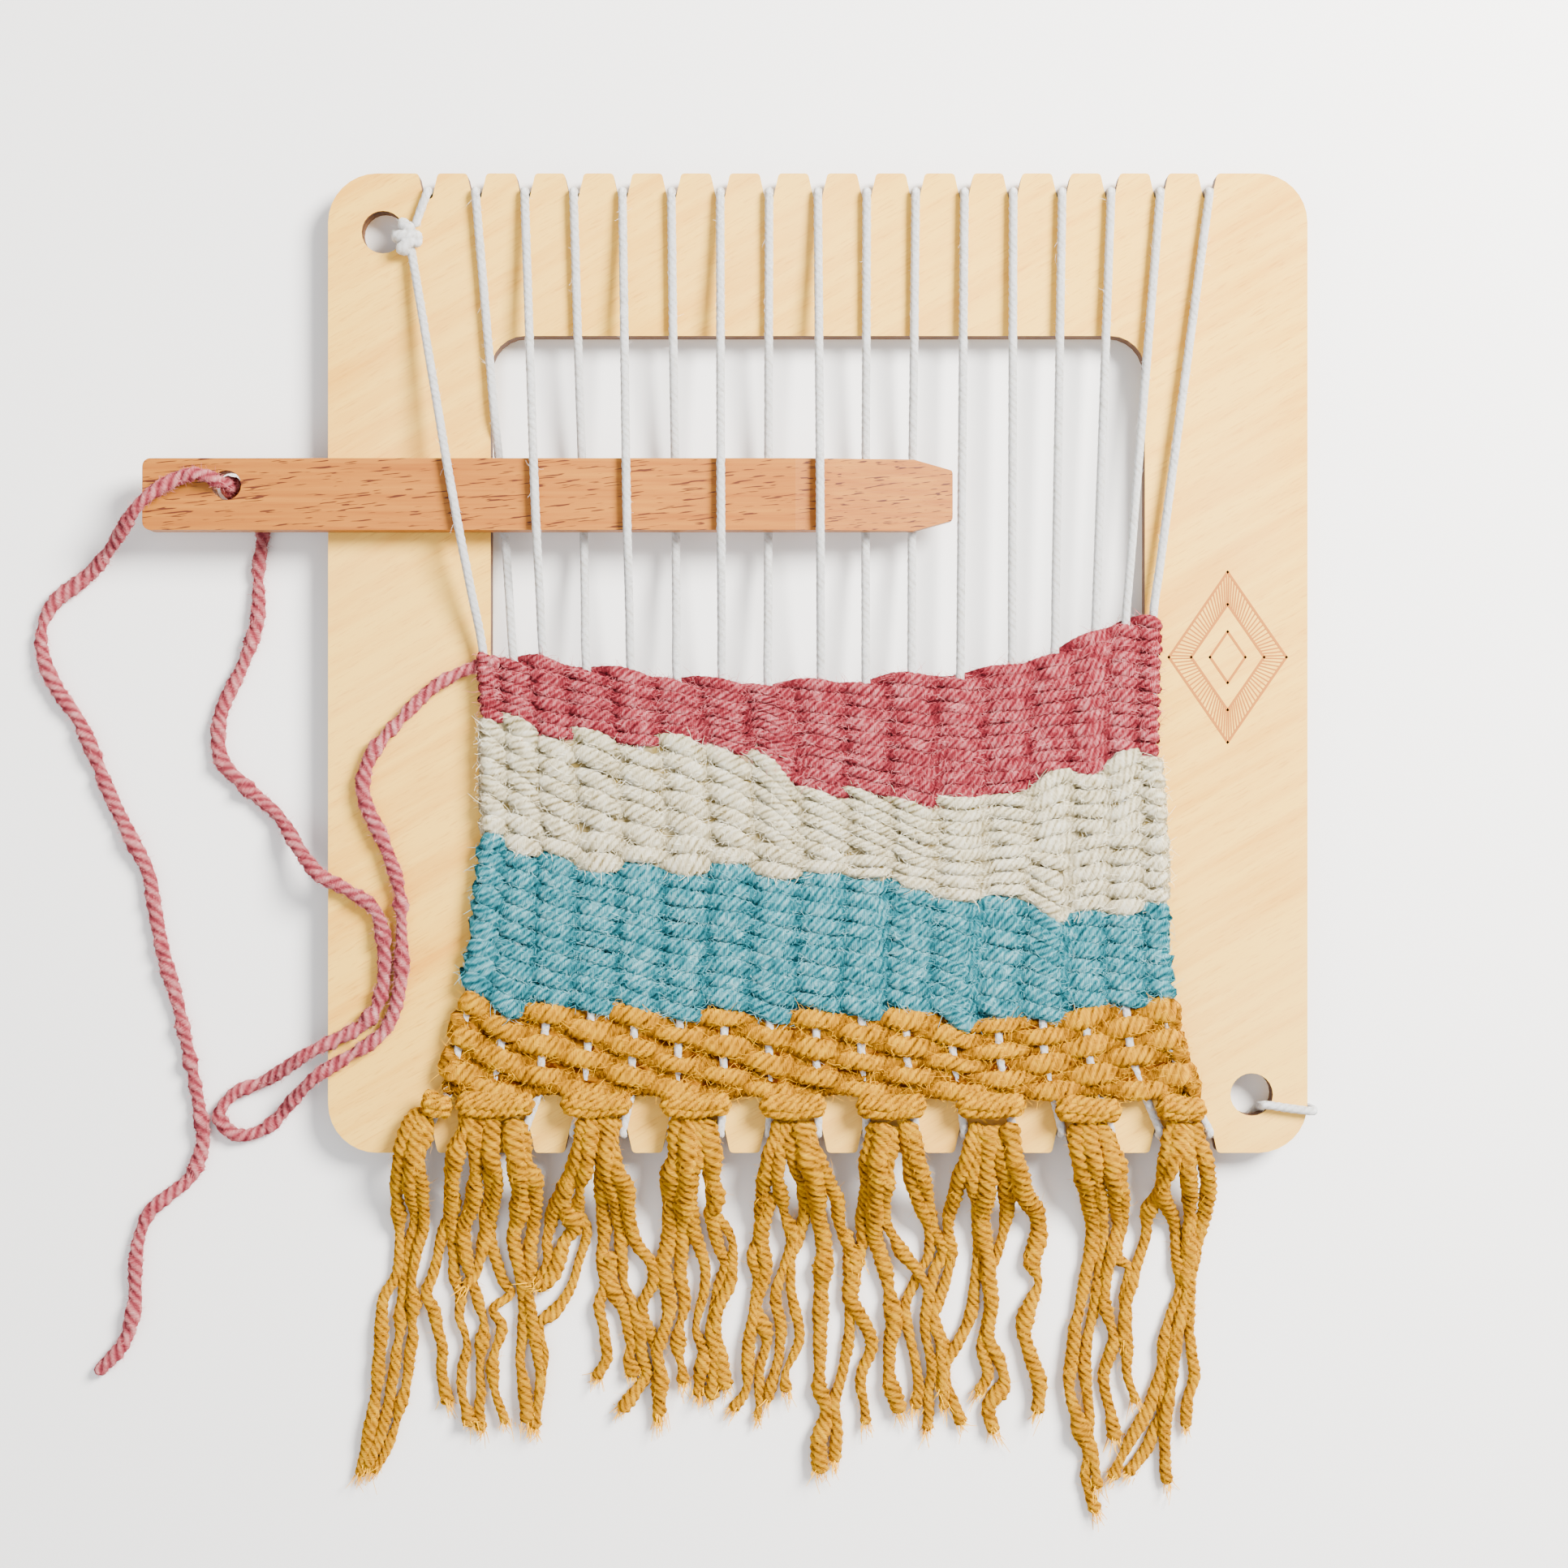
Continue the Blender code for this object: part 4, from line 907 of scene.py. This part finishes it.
# Every strand, in the order they lie: its tassel, its thickness and its route.
STRANDS = [
    (1, 2.5, [(-80.6, -90.4), (-84.3, -99.3), (-86.0, -106.3), (-86.1, -115.4), (-86.4, -125.0),
        (-89.5, -130.8), (-89.8, -138.8), (-90.6, -148.4), (-92.0, -156.4), (-94.4, -167.6)]),
    (1, 2.4, [(-80.0, -91.3), (-82.5, -100.8), (-83.2, -107.4), (-83.2, -115.4), (-85.0, -125.0),
        (-85.6, -131.4), (-86.1, -138.8), (-87.4, -146.8), (-89.5, -157.5), (-92.8, -165.5)]),
    (1, 2.4, [(-79.2, -91.8), (-81.0, -100.8), (-80.9, -108.5), (-81.1, -115.4), (-83.4, -125.0),
        (-83.2, -132.5), (-83.7, -140.9), (-85.0, -149.5), (-87.9, -160.1), (-91.7, -166.6)]),
    (2, 2.4, [(-71.0, -90.8), (-73.0, -98.2), (-74.7, -106.3), (-75.1, -112.0), (-77.3, -117.5),
        (-78.9, -124.5), (-80.0, -129.7), (-78.3, -136.2), (-77.3, -141.5), (-77.3, -146.8),
        (-76.0, -152.7)]),
    (2, 2.4, [(-70.0, -92.0), (-73.5, -101.0), (-75.1, -112.0), (-75.2, -119.6), (-75.2, -125.0),
        (-73.6, -129.7), (-73.6, -134.6), (-72.3, -138.8), (-73.1, -145.8), (-73.1, -151.1),
        (-70.9, -157.0)]),
    (2, 2.5, [(-69.3, -91.9), (-69.3, -98.2), (-69.9, -106.3), (-71.3, -112.0), (-73.1, -116.4),
        (-72.0, -122.9), (-70.9, -127.6), (-69.9, -132.0), (-68.8, -136.7), (-69.4, -142.0), (-69.4, -149.5),
        (-69.4, -158.0)]),
    (2, 2.3, [(-67.8, -91.9), (-66.1, -98.7), (-66.7, -106.3), (-68.2, -113.2), (-68.8, -118.5),
        (-69.9, -125.0), (-72.5, -128.2)]),
    (2, 2.3, [(-66.1, -92.2), (-66.1, -100.8), (-65.2, -106.3), (-67.4, -115.4), (-66.6, -121.8),
        (-65.0, -127.1), (-63.4, -129.7), (-66.6, -133.0), (-65.0, -136.7), (-66.6, -142.0), (-66.6, -148.4),
        (-64.0, -156.4)]),
    (2, 3.0, [(-61.9, -92.4), (-61.4, -98.7), (-60.4, -105.2), (-61.0, -112.0), (-62.4, -118.5),
        (-61.3, -125.0), (-60.3, -131.4), (-60.3, -136.2), (-61.3, -143.1), (-60.3, -149.5),
        (-59.7, -156.4)]),
    (2, 2.4, [(-60.8, -92.9), (-59.2, -100.8), (-57.8, -107.4), (-58.3, -113.2), (-59.2, -119.6),
        (-59.2, -125.0), (-59.2, -131.4), (-58.2, -138.8), (-57.0, -145.3), (-58.2, -157.5)]),
    (3, 3.0, [(-47.1, -91.9), (-48.2, -99.8), (-50.3, -104.5), (-52.1, -109.7), (-50.1, -115.4),
        (-52.3, -119.6), (-53.8, -123.9), (-55.9, -127.1), (-58.2, -127.6)]),
    (3, 2.4, [(-46.0, -91.9), (-46.6, -99.8), (-48.3, -106.3), (-49.0, -112.0), (-47.5, -117.0),
        (-49.1, -122.9), (-51.2, -129.2), (-54.4, -133.5), (-57.0, -136.2), (-55.9, -142.0), (-57.0, -149.5),
        (-58.2, -157.5)]),
    (3, 2.2, [(-47.5, -95.0), (-50.8, -105.2), (-54.4, -113.2), (-55.4, -118.5), (-55.9, -123.9),
        (-57.6, -127.1)]),
    (3, 2.5, [(-43.4, -91.9), (-43.7, -100.8), (-44.1, -110.9), (-43.7, -116.4), (-44.5, -121.8),
        (-44.0, -127.6), (-44.8, -132.5), (-43.7, -137.8), (-43.7, -143.1), (-45.3, -147.4)]),
    (3, 2.4, [(-42.3, -92.4), (-42.9, -100.8), (-41.5, -110.9), (-40.5, -117.5), (-40.0, -125.0),
        (-38.4, -131.4), (-36.8, -136.7), (-36.3, -142.0), (-35.2, -146.3), (-37.9, -150.5),
        (-40.5, -153.8)]),
    (3, 2.5, [(-41.3, -92.4), (-41.3, -102.4), (-39.3, -107.4), (-37.9, -117.5), (-34.6, -122.9),
        (-33.6, -127.1), (-36.3, -133.5), (-33.6, -139.9), (-32.5, -144.2), (-32.5, -154.9)]),
    (3, 2.2, [(-42.9, -120.9), (-42.1, -128.2), (-40.0, -133.5), (-38.4, -139.9), (-38.9, -143.1),
        (-37.4, -146.8)]),
    (4, 2.9, [(-28.0, -91.9), (-29.1, -100.8), (-30.0, -109.7), (-30.4, -117.5), (-31.7, -123.9),
        (-30.4, -131.4), (-31.5, -136.7), (-33.0, -142.0), (-32.5, -149.5), (-33.0, -156.5)]),
    (4, 2.9, [(-26.3, -91.9), (-26.5, -100.8), (-27.1, -109.2), (-27.8, -117.5), (-28.3, -125.0),
        (-27.2, -131.4), (-28.8, -137.8), (-28.3, -143.1), (-27.8, -148.4)]),
    (4, 2.5, [(-24.4, -92.4), (-24.9, -100.8), (-25.5, -108.0), (-25.6, -115.4), (-23.4, -122.9),
        (-23.4, -129.7), (-25.1, -136.7), (-23.4, -142.0), (-24.6, -151.1)]),
    (4, 2.5, [(-22.6, -92.4), (-21.7, -100.3), (-21.3, -109.2), (-20.8, -113.2), (-18.1, -117.0),
        (-17.6, -122.9), (-18.1, -127.6), (-20.3, -132.0), (-20.8, -135.7), (-20.3, -140.9),
        (-18.7, -149.5)]),
    (4, 2.3, [(-22.4, -98.0), (-20.8, -109.7), (-21.8, -113.2), (-20.3, -120.2), (-18.7, -123.9),
        (-20.8, -129.7), (-21.8, -136.7), (-21.3, -143.1), (-21.8, -151.6)]),
    (5, 2.5, [(-8.0, -92.7), (-9.9, -100.4), (-11.2, -109.2), (-11.8, -117.3), (-13.5, -121.9),
        (-12.1, -127.0), (-13.2, -132.9), (-14.2, -140.6), (-14.5, -149.0), (-17.4, -153.9)]),
    (5, 2.4, [(-9.5, -108.3), (-11.5, -117.9), (-10.5, -123.8), (-12.6, -132.2), (-10.5, -139.3),
        (-12.1, -146.5), (-12.1, -155.5)]),
    (5, 2.5, [(-6.6, -93.3), (-8.0, -103.0), (-7.3, -111.2), (-5.1, -117.9), (-7.6, -125.7), (-8.6, -130.8),
        (-7.3, -137.4), (-8.6, -145.2), (-10.5, -152.2)]),
    (5, 2.4, [(-5.4, -93.3), (-5.1, -101.7), (-2.5, -109.8), (-4.1, -117.9), (-5.7, -123.8), (-5.1, -130.8),
        (-3.8, -138.7), (-6.4, -145.2), (-6.4, -150.0)]),
    (5, 3.0, [(-3.8, -93.3), (-1.2, -103.0), (0.2, -112.6), (1.4, -120.6), (1.1, -127.0), (0.5, -134.8),
        (0.5, -143.9), (0.2, -149.0), (2.1, -154.3), (0.2, -160.0), (0.5, -166.6)]),
    (5, 2.5, [(-2.4, -93.3), (0.1, -101.0), (3.3, -108.4), (4.7, -115.3), (6.6, -119.8), (7.9, -124.4),
        (6.6, -130.8), (6.6, -138.7), (5.3, -145.8), (3.4, -152.2), (4.0, -156.8), (3.7, -164.5)]),
    (5, 2.3, [(5.5, -116.3), (7.2, -124.4), (7.2, -130.8), (11.2, -139.3), (9.1, -147.1), (9.8, -156.8)]),
    (6, 2.3, [(12.0, -93.3), (10.3, -101.7), (9.8, -111.2), (9.5, -117.9), (8.2, -124.4)]),
    (6, 3.3, [(13.2, -93.3), (12.3, -101.7), (11.7, -111.2), (12.5, -119.2), (14.4, -127.0), (15.7, -134.8),
        (15.0, -141.2), (15.0, -147.7), (17.0, -154.3)]),
    (6, 2.5, [(14.8, -94.0), (14.2, -104.3), (13.6, -112.6), (16.3, -119.2), (20.2, -124.4), (22.8, -129.6),
        (24.1, -134.8), (26.4, -140.6), (26.7, -147.1), (29.9, -156.8)]),
    (6, 2.5, [(18.3, -93.3), (20.6, -103.0), (22.6, -109.8), (23.5, -115.3), (26.0, -120.6), (24.1, -125.7),
        (22.8, -130.8), (22.2, -137.4), (23.5, -143.9), (22.8, -150.3), (22.8, -158.1)]),
    (6, 2.4, [(17.6, -93.0), (20.1, -108.4), (22.8, -115.3), (22.8, -121.9), (20.2, -127.0), (18.2, -133.5),
        (19.5, -140.6), (20.8, -147.7), (20.2, -153.5)]),
    (7, 2.5, [(32.5, -93.3), (30.2, -100.4), (28.4, -107.8), (27.3, -114.0), (27.6, -121.9), (26.0, -128.3),
        (23.5, -134.8), (25.4, -141.2), (26.0, -153.5)]),
    (7, 2.4, [(33.4, -94.0), (31.6, -105.6), (33.0, -111.2), (33.2, -117.9), (32.6, -127.0), (31.8, -133.5),
        (29.3, -138.7), (26.7, -143.9), (25.4, -150.3)]),
    (7, 3.0, [(34.7, -94.0), (34.2, -105.6), (33.7, -114.0), (35.1, -124.4), (35.8, -132.2), (35.1, -138.7),
        (37.7, -143.9), (38.3, -148.4), (35.1, -152.9), (36.4, -158.4)]),
    (7, 2.4, [(36.4, -94.0), (37.9, -103.0), (38.9, -112.6), (37.1, -121.2), (35.1, -125.7), (35.1, -133.5),
        (33.8, -140.6), (35.1, -145.8), (32.9, -150.3)]),
    (7, 3.0, [(38.4, -93.3), (40.5, -101.7), (42.0, -108.4), (44.8, -112.6), (45.5, -117.9), (44.2, -123.1),
        (45.5, -127.6), (42.8, -134.8), (43.5, -141.2), (45.5, -147.1), (44.9, -154.3)]),
    (8, 3.0, [(52.7, -93.3), (53.4, -101.0), (56.3, -111.2), (56.5, -119.2), (55.2, -125.7), (53.9, -133.5),
        (52.6, -141.2), (51.9, -149.0), (53.9, -156.8), (55.9, -163.2), (55.2, -168.5), (57.5, -174.9)]),
    (8, 2.4, [(54.6, -93.3), (55.9, -101.7), (58.3, -112.6), (58.4, -121.9), (57.8, -129.6), (55.9, -137.4),
        (55.2, -145.2), (55.9, -152.9), (56.5, -160.7), (57.5, -169.8)]),
    (8, 2.4, [(57.0, -93.3), (59.8, -103.0), (61.7, -114.0), (60.4, -121.9), (59.1, -130.8), (61.0, -138.7),
        (59.1, -146.5), (60.4, -154.3), (61.3, -160.0)]),
    (8, 2.4, [(58.4, -94.6), (61.8, -105.6), (62.9, -115.3), (61.7, -121.9), (64.2, -124.4), (62.9, -130.8),
        (64.2, -137.4), (63.6, -145.2), (65.5, -152.2)]),
    (9, 2.4, [(72.6, -92.7), (71.3, -99.1), (70.2, -105.6), (68.0, -112.6), (67.5, -118.5), (65.5, -124.4),
        (63.6, -130.8), (62.9, -139.9)]),
    (9, 2.5, [(73.7, -93.3), (72.0, -101.7), (70.3, -107.8), (73.3, -115.3), (74.6, -123.1), (74.6, -129.6),
        (72.0, -136.1), (70.8, -143.9), (68.8, -151.6), (65.5, -158.1), (60.4, -167.8)]),
    (9, 2.5, [(75.0, -93.3), (75.2, -103.0), (76.3, -111.2), (75.9, -120.6), (75.9, -128.3), (74.0, -136.1),
        (72.0, -143.9), (70.8, -152.9), (68.2, -160.7), (63.6, -166.9)]),
    (9, 2.5, [(76.2, -93.3), (79.0, -101.7), (80.1, -109.8), (78.6, -116.6), (77.3, -124.4), (75.9, -132.2),
        (74.0, -139.9), (72.7, -149.0), (71.4, -158.1), (72.0, -169.1)]),
    (9, 2.2, [(77.0, -112.6), (76.5, -121.9), (76.5, -130.8), (76.5, -137.4), (77.3, -142.6), (77.9, -147.1),
        (75.9, -152.9), (76.2, -157.5)]),
]

FRINGE_BACK = 8.3  # over the board and the string, in millimetres
FRINGE_FALL_Y = -98.2  # where the strands start to fall off the board
FRINGE_LANDS_Y = -118.0  # where they lie on the table
KNOT_ROW = 1.35  # between two of the three yarns in a tassel's knot
KNOT_HIGH = 2.35  # their middles, over what they rest on
KNOT_HALF = 1.3
FLAT = 0.85  # how high a strand is for its width


def fringe_floor(y):
    """What a strand rests on, in millimetres over the table: the board, then nothing until the table."""
    return FRINGE_BACK * soft_step((y - FRINGE_LANDS_Y) / (FRINGE_FALL_Y - FRINGE_LANDS_Y))


def make_knot_bar(yarn, knot):
    """The yarns of a tassel, looped over two runs: three lie side by side, and their ends turn down."""
    left, right, middle, slope = knot
    for row, (offset, rise) in enumerate(((KNOT_ROW, 0.0), (0.0, 0.45), (-KNOT_ROW, 0.0))):
        top = FRINGE_BACK + KNOT_HIGH + rise
        side = 0.35 * abs(offset)
        line = [(left + side, middle + offset * 0.6, top - 2.2),
                (left + side + 0.4, middle + offset * 0.9, top - 0.7)]
        for part in np.linspace(0.14, 0.86, 5):
            lift = 0.25 * math.sin(7 * part + row)
            line.append((left + (right - left) * part, middle + offset + slope * (part - 0.5) + lift, top))
        line += [(right - side - 0.4, middle + offset * 0.9 + slope * 0.5, top - 0.7),
                 (right - side, middle + offset * 0.6 + slope * 0.5, top - 2.2)]
        path = smooth_line(world(line), 0.4 * MM)
        radius = KNOT_HALF * MM * (1 + wander(len(path), 7, 0.07))
        rings, line = yarn.tube(path, radius, radius, FRINGE_SPIN, 12, level=False)
        yarn.fibres(rings, line, 6.0, 2.0 * MM)


def make_strand(yarn, thickness, route, order):
    """One cut yarn: full where it leaves the knot, thinner and uneven below, and frayed at its end."""
    points = []
    for step, (x, y) in enumerate(route):
        layer = 0.45 * ((order * 2 + step // 3) % 3)
        hidden = 0.7 if step == 0 else 0.0
        points.append((x, y, fringe_floor(y) + thickness * 0.45 + layer - hidden))
    path = smooth_line(world(points), 0.42 * MM)
    path[:, 0] += wander(len(path), 9, 0.16 * MM)
    along = lengths_along(path)
    fullness = 1.5 - 0.5 * soft_step((along / MM - 6) / 34)
    uneven = np.clip(1 + wander(len(path), 10, 0.18), 0.6, 1.5)
    flare = 1 + 0.25 * soft_step(1 - (along[-1] - along) / (2.5 * MM))
    radius = thickness / 2 * MM * fullness * uneven * flare
    path[:, 2] = np.maximum(path[:, 2], radius * FLAT)
    rings, line = yarn.tube(path, radius, radius * FLAT, FRINGE_SPIN, 12)
    yarn.fibres(rings, line, 3.0, 2.0 * MM)
    yarn.frayed_end(path, radius[-1])


def make_tassel(number, knot, look):
    yarn = Yarn()
    make_knot_bar(yarn, knot)
    strands = [(thickness, route) for tassel, thickness, route in STRANDS if tassel == number]
    for order, (thickness, route) in enumerate(strands):
        make_strand(yarn, thickness, route, order)
    return yarn.piece(f"tassel_{number}", look, "loom", [f"fringe_tassel_{number}"])


# ---- the wood ----


def make_wood():
    board = frame["nodes"]["loom_frame"]
    board.data.materials.clear()
    board.data.materials.append(birch_look())
    edges = board.modifiers.new("cut_edges", "BEVEL")
    edges.width = 0.22 * MM
    edges.segments = 2
    edges.limit_method = "ANGLE"
    edges.angle_limit = math.radians(60)
    needle = frame["nodes"]["weaving_needle"]
    needle.data.materials.clear()
    needle.data.materials.append(beech_look())


# ---- the pattern burnt into the right bar ----

PATTERN_X = 83.7
PATTERN_Y = 1.2
PATTERN_WIDE = 24.0
PATTERN_TALL = 34.8
LINE_WIDE = 0.5
HATCH_WIDE = 0.3
HATCHES = 22  # on each side
RINGS = (1.0, 0.62, 0.3)
LAYER = 0.02  # the strokes lie this far over the board, and the outlines this far over the hatching


def strip(verts, faces, start, end, width, height):
    """A flat stroke from one point to another."""
    start, end = np.array(start, float), np.array(end, float)
    along = (end - start) / np.linalg.norm(end - start)
    across = np.array((-along[1], along[0])) * width / 2
    reach = along * width / 2
    corners = [start - reach - across, end + reach - across, end + reach + across, start - reach + across]
    base = len(verts)
    verts += [(*corner, height) for corner in corners]
    faces.append((base, base + 1, base + 2, base + 3))


def diamond(half_wide, half_tall):
    return [(-half_wide, 0), (0, -half_tall), (half_wide, 0), (0, half_tall)]


def make_pattern():
    """Nested diamonds, hatched between the outer two."""
    verts, faces = [], []
    height = FACE / MM + LAYER
    half_wide, half_tall = PATTERN_WIDE / 2, PATTERN_TALL / 2

    def stroke(start, end, width, lift=0.0):
        place = [(PATTERN_X + x, PATTERN_Y + y) for x, y in (start, end)]
        strip(verts, faces, *place, width, height + lift)

    for share in RINGS:
        corners = diamond(half_wide * share, half_tall * share)
        for start, end in zip(corners, corners[1:] + corners[:1]):
            stroke(start, end, LINE_WIDE, LAYER)
    outer, inner = (diamond(half_wide * share, half_tall * share) for share in RINGS[:2])
    for i in range(4):
        for t in np.linspace(0.02, 0.98, HATCHES):
            start = np.array(outer[i - 1]) * (1 - t) + np.array(outer[i]) * t
            end = np.array(inner[i - 1]) * (1 - t) + np.array(inner[i]) * t
            stroke(start, end, HATCH_WIDE)
    mesh = bpy.data.meshes.new("burnt_pattern")
    mesh.from_pydata(world(verts).tolist(), [], faces)
    mesh.materials.append(plain_look("burnt_line", "#B06A24", 0.7))
    pattern = add("burnt_pattern", mesh)
    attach(pattern, "loom")


TABLE_REACH = 1.5


def make_table():
    mesh = bpy.data.meshes.new("table")
    corners = [(x * TABLE_REACH, y * TABLE_REACH, 0) for x, y in ((-1, -1), (1, -1), (1, 1), (-1, 1))]
    mesh.from_pydata(corners, [], [(0, 1, 2, 3)])
    mesh.materials.append(table_look())
    table = add("table", mesh)


# ---- everything ----

make_camera()
make_free_yarn(yarn_look("pink_working_yarn", PALE_PINK))
make_light()
make_table()
make_wood()
make_pattern()

cotton = yarn_look("white_cotton_string", COTTON)
make_runs(cotton)
make_turns(cotton)
make_warp_ends(cotton)

yarns = {
    "pink": yarn_look("pink_yarn", PINK),
    "cream": yarn_look("cream_yarn", CREAM),
    "blue": yarn_look("blue_yarn", BLUE),
    "mustard": yarn_look("mustard_yarn", MUSTARD),
}
wefts = [make_band(name, band, yarns[name]) for name, band in BANDS.items()]
tassels = [make_tassel(number, knot, yarns["mustard"]) for number, knot in enumerate(KNOTS, start=1)]
ground, flat = make_ground(yarns)
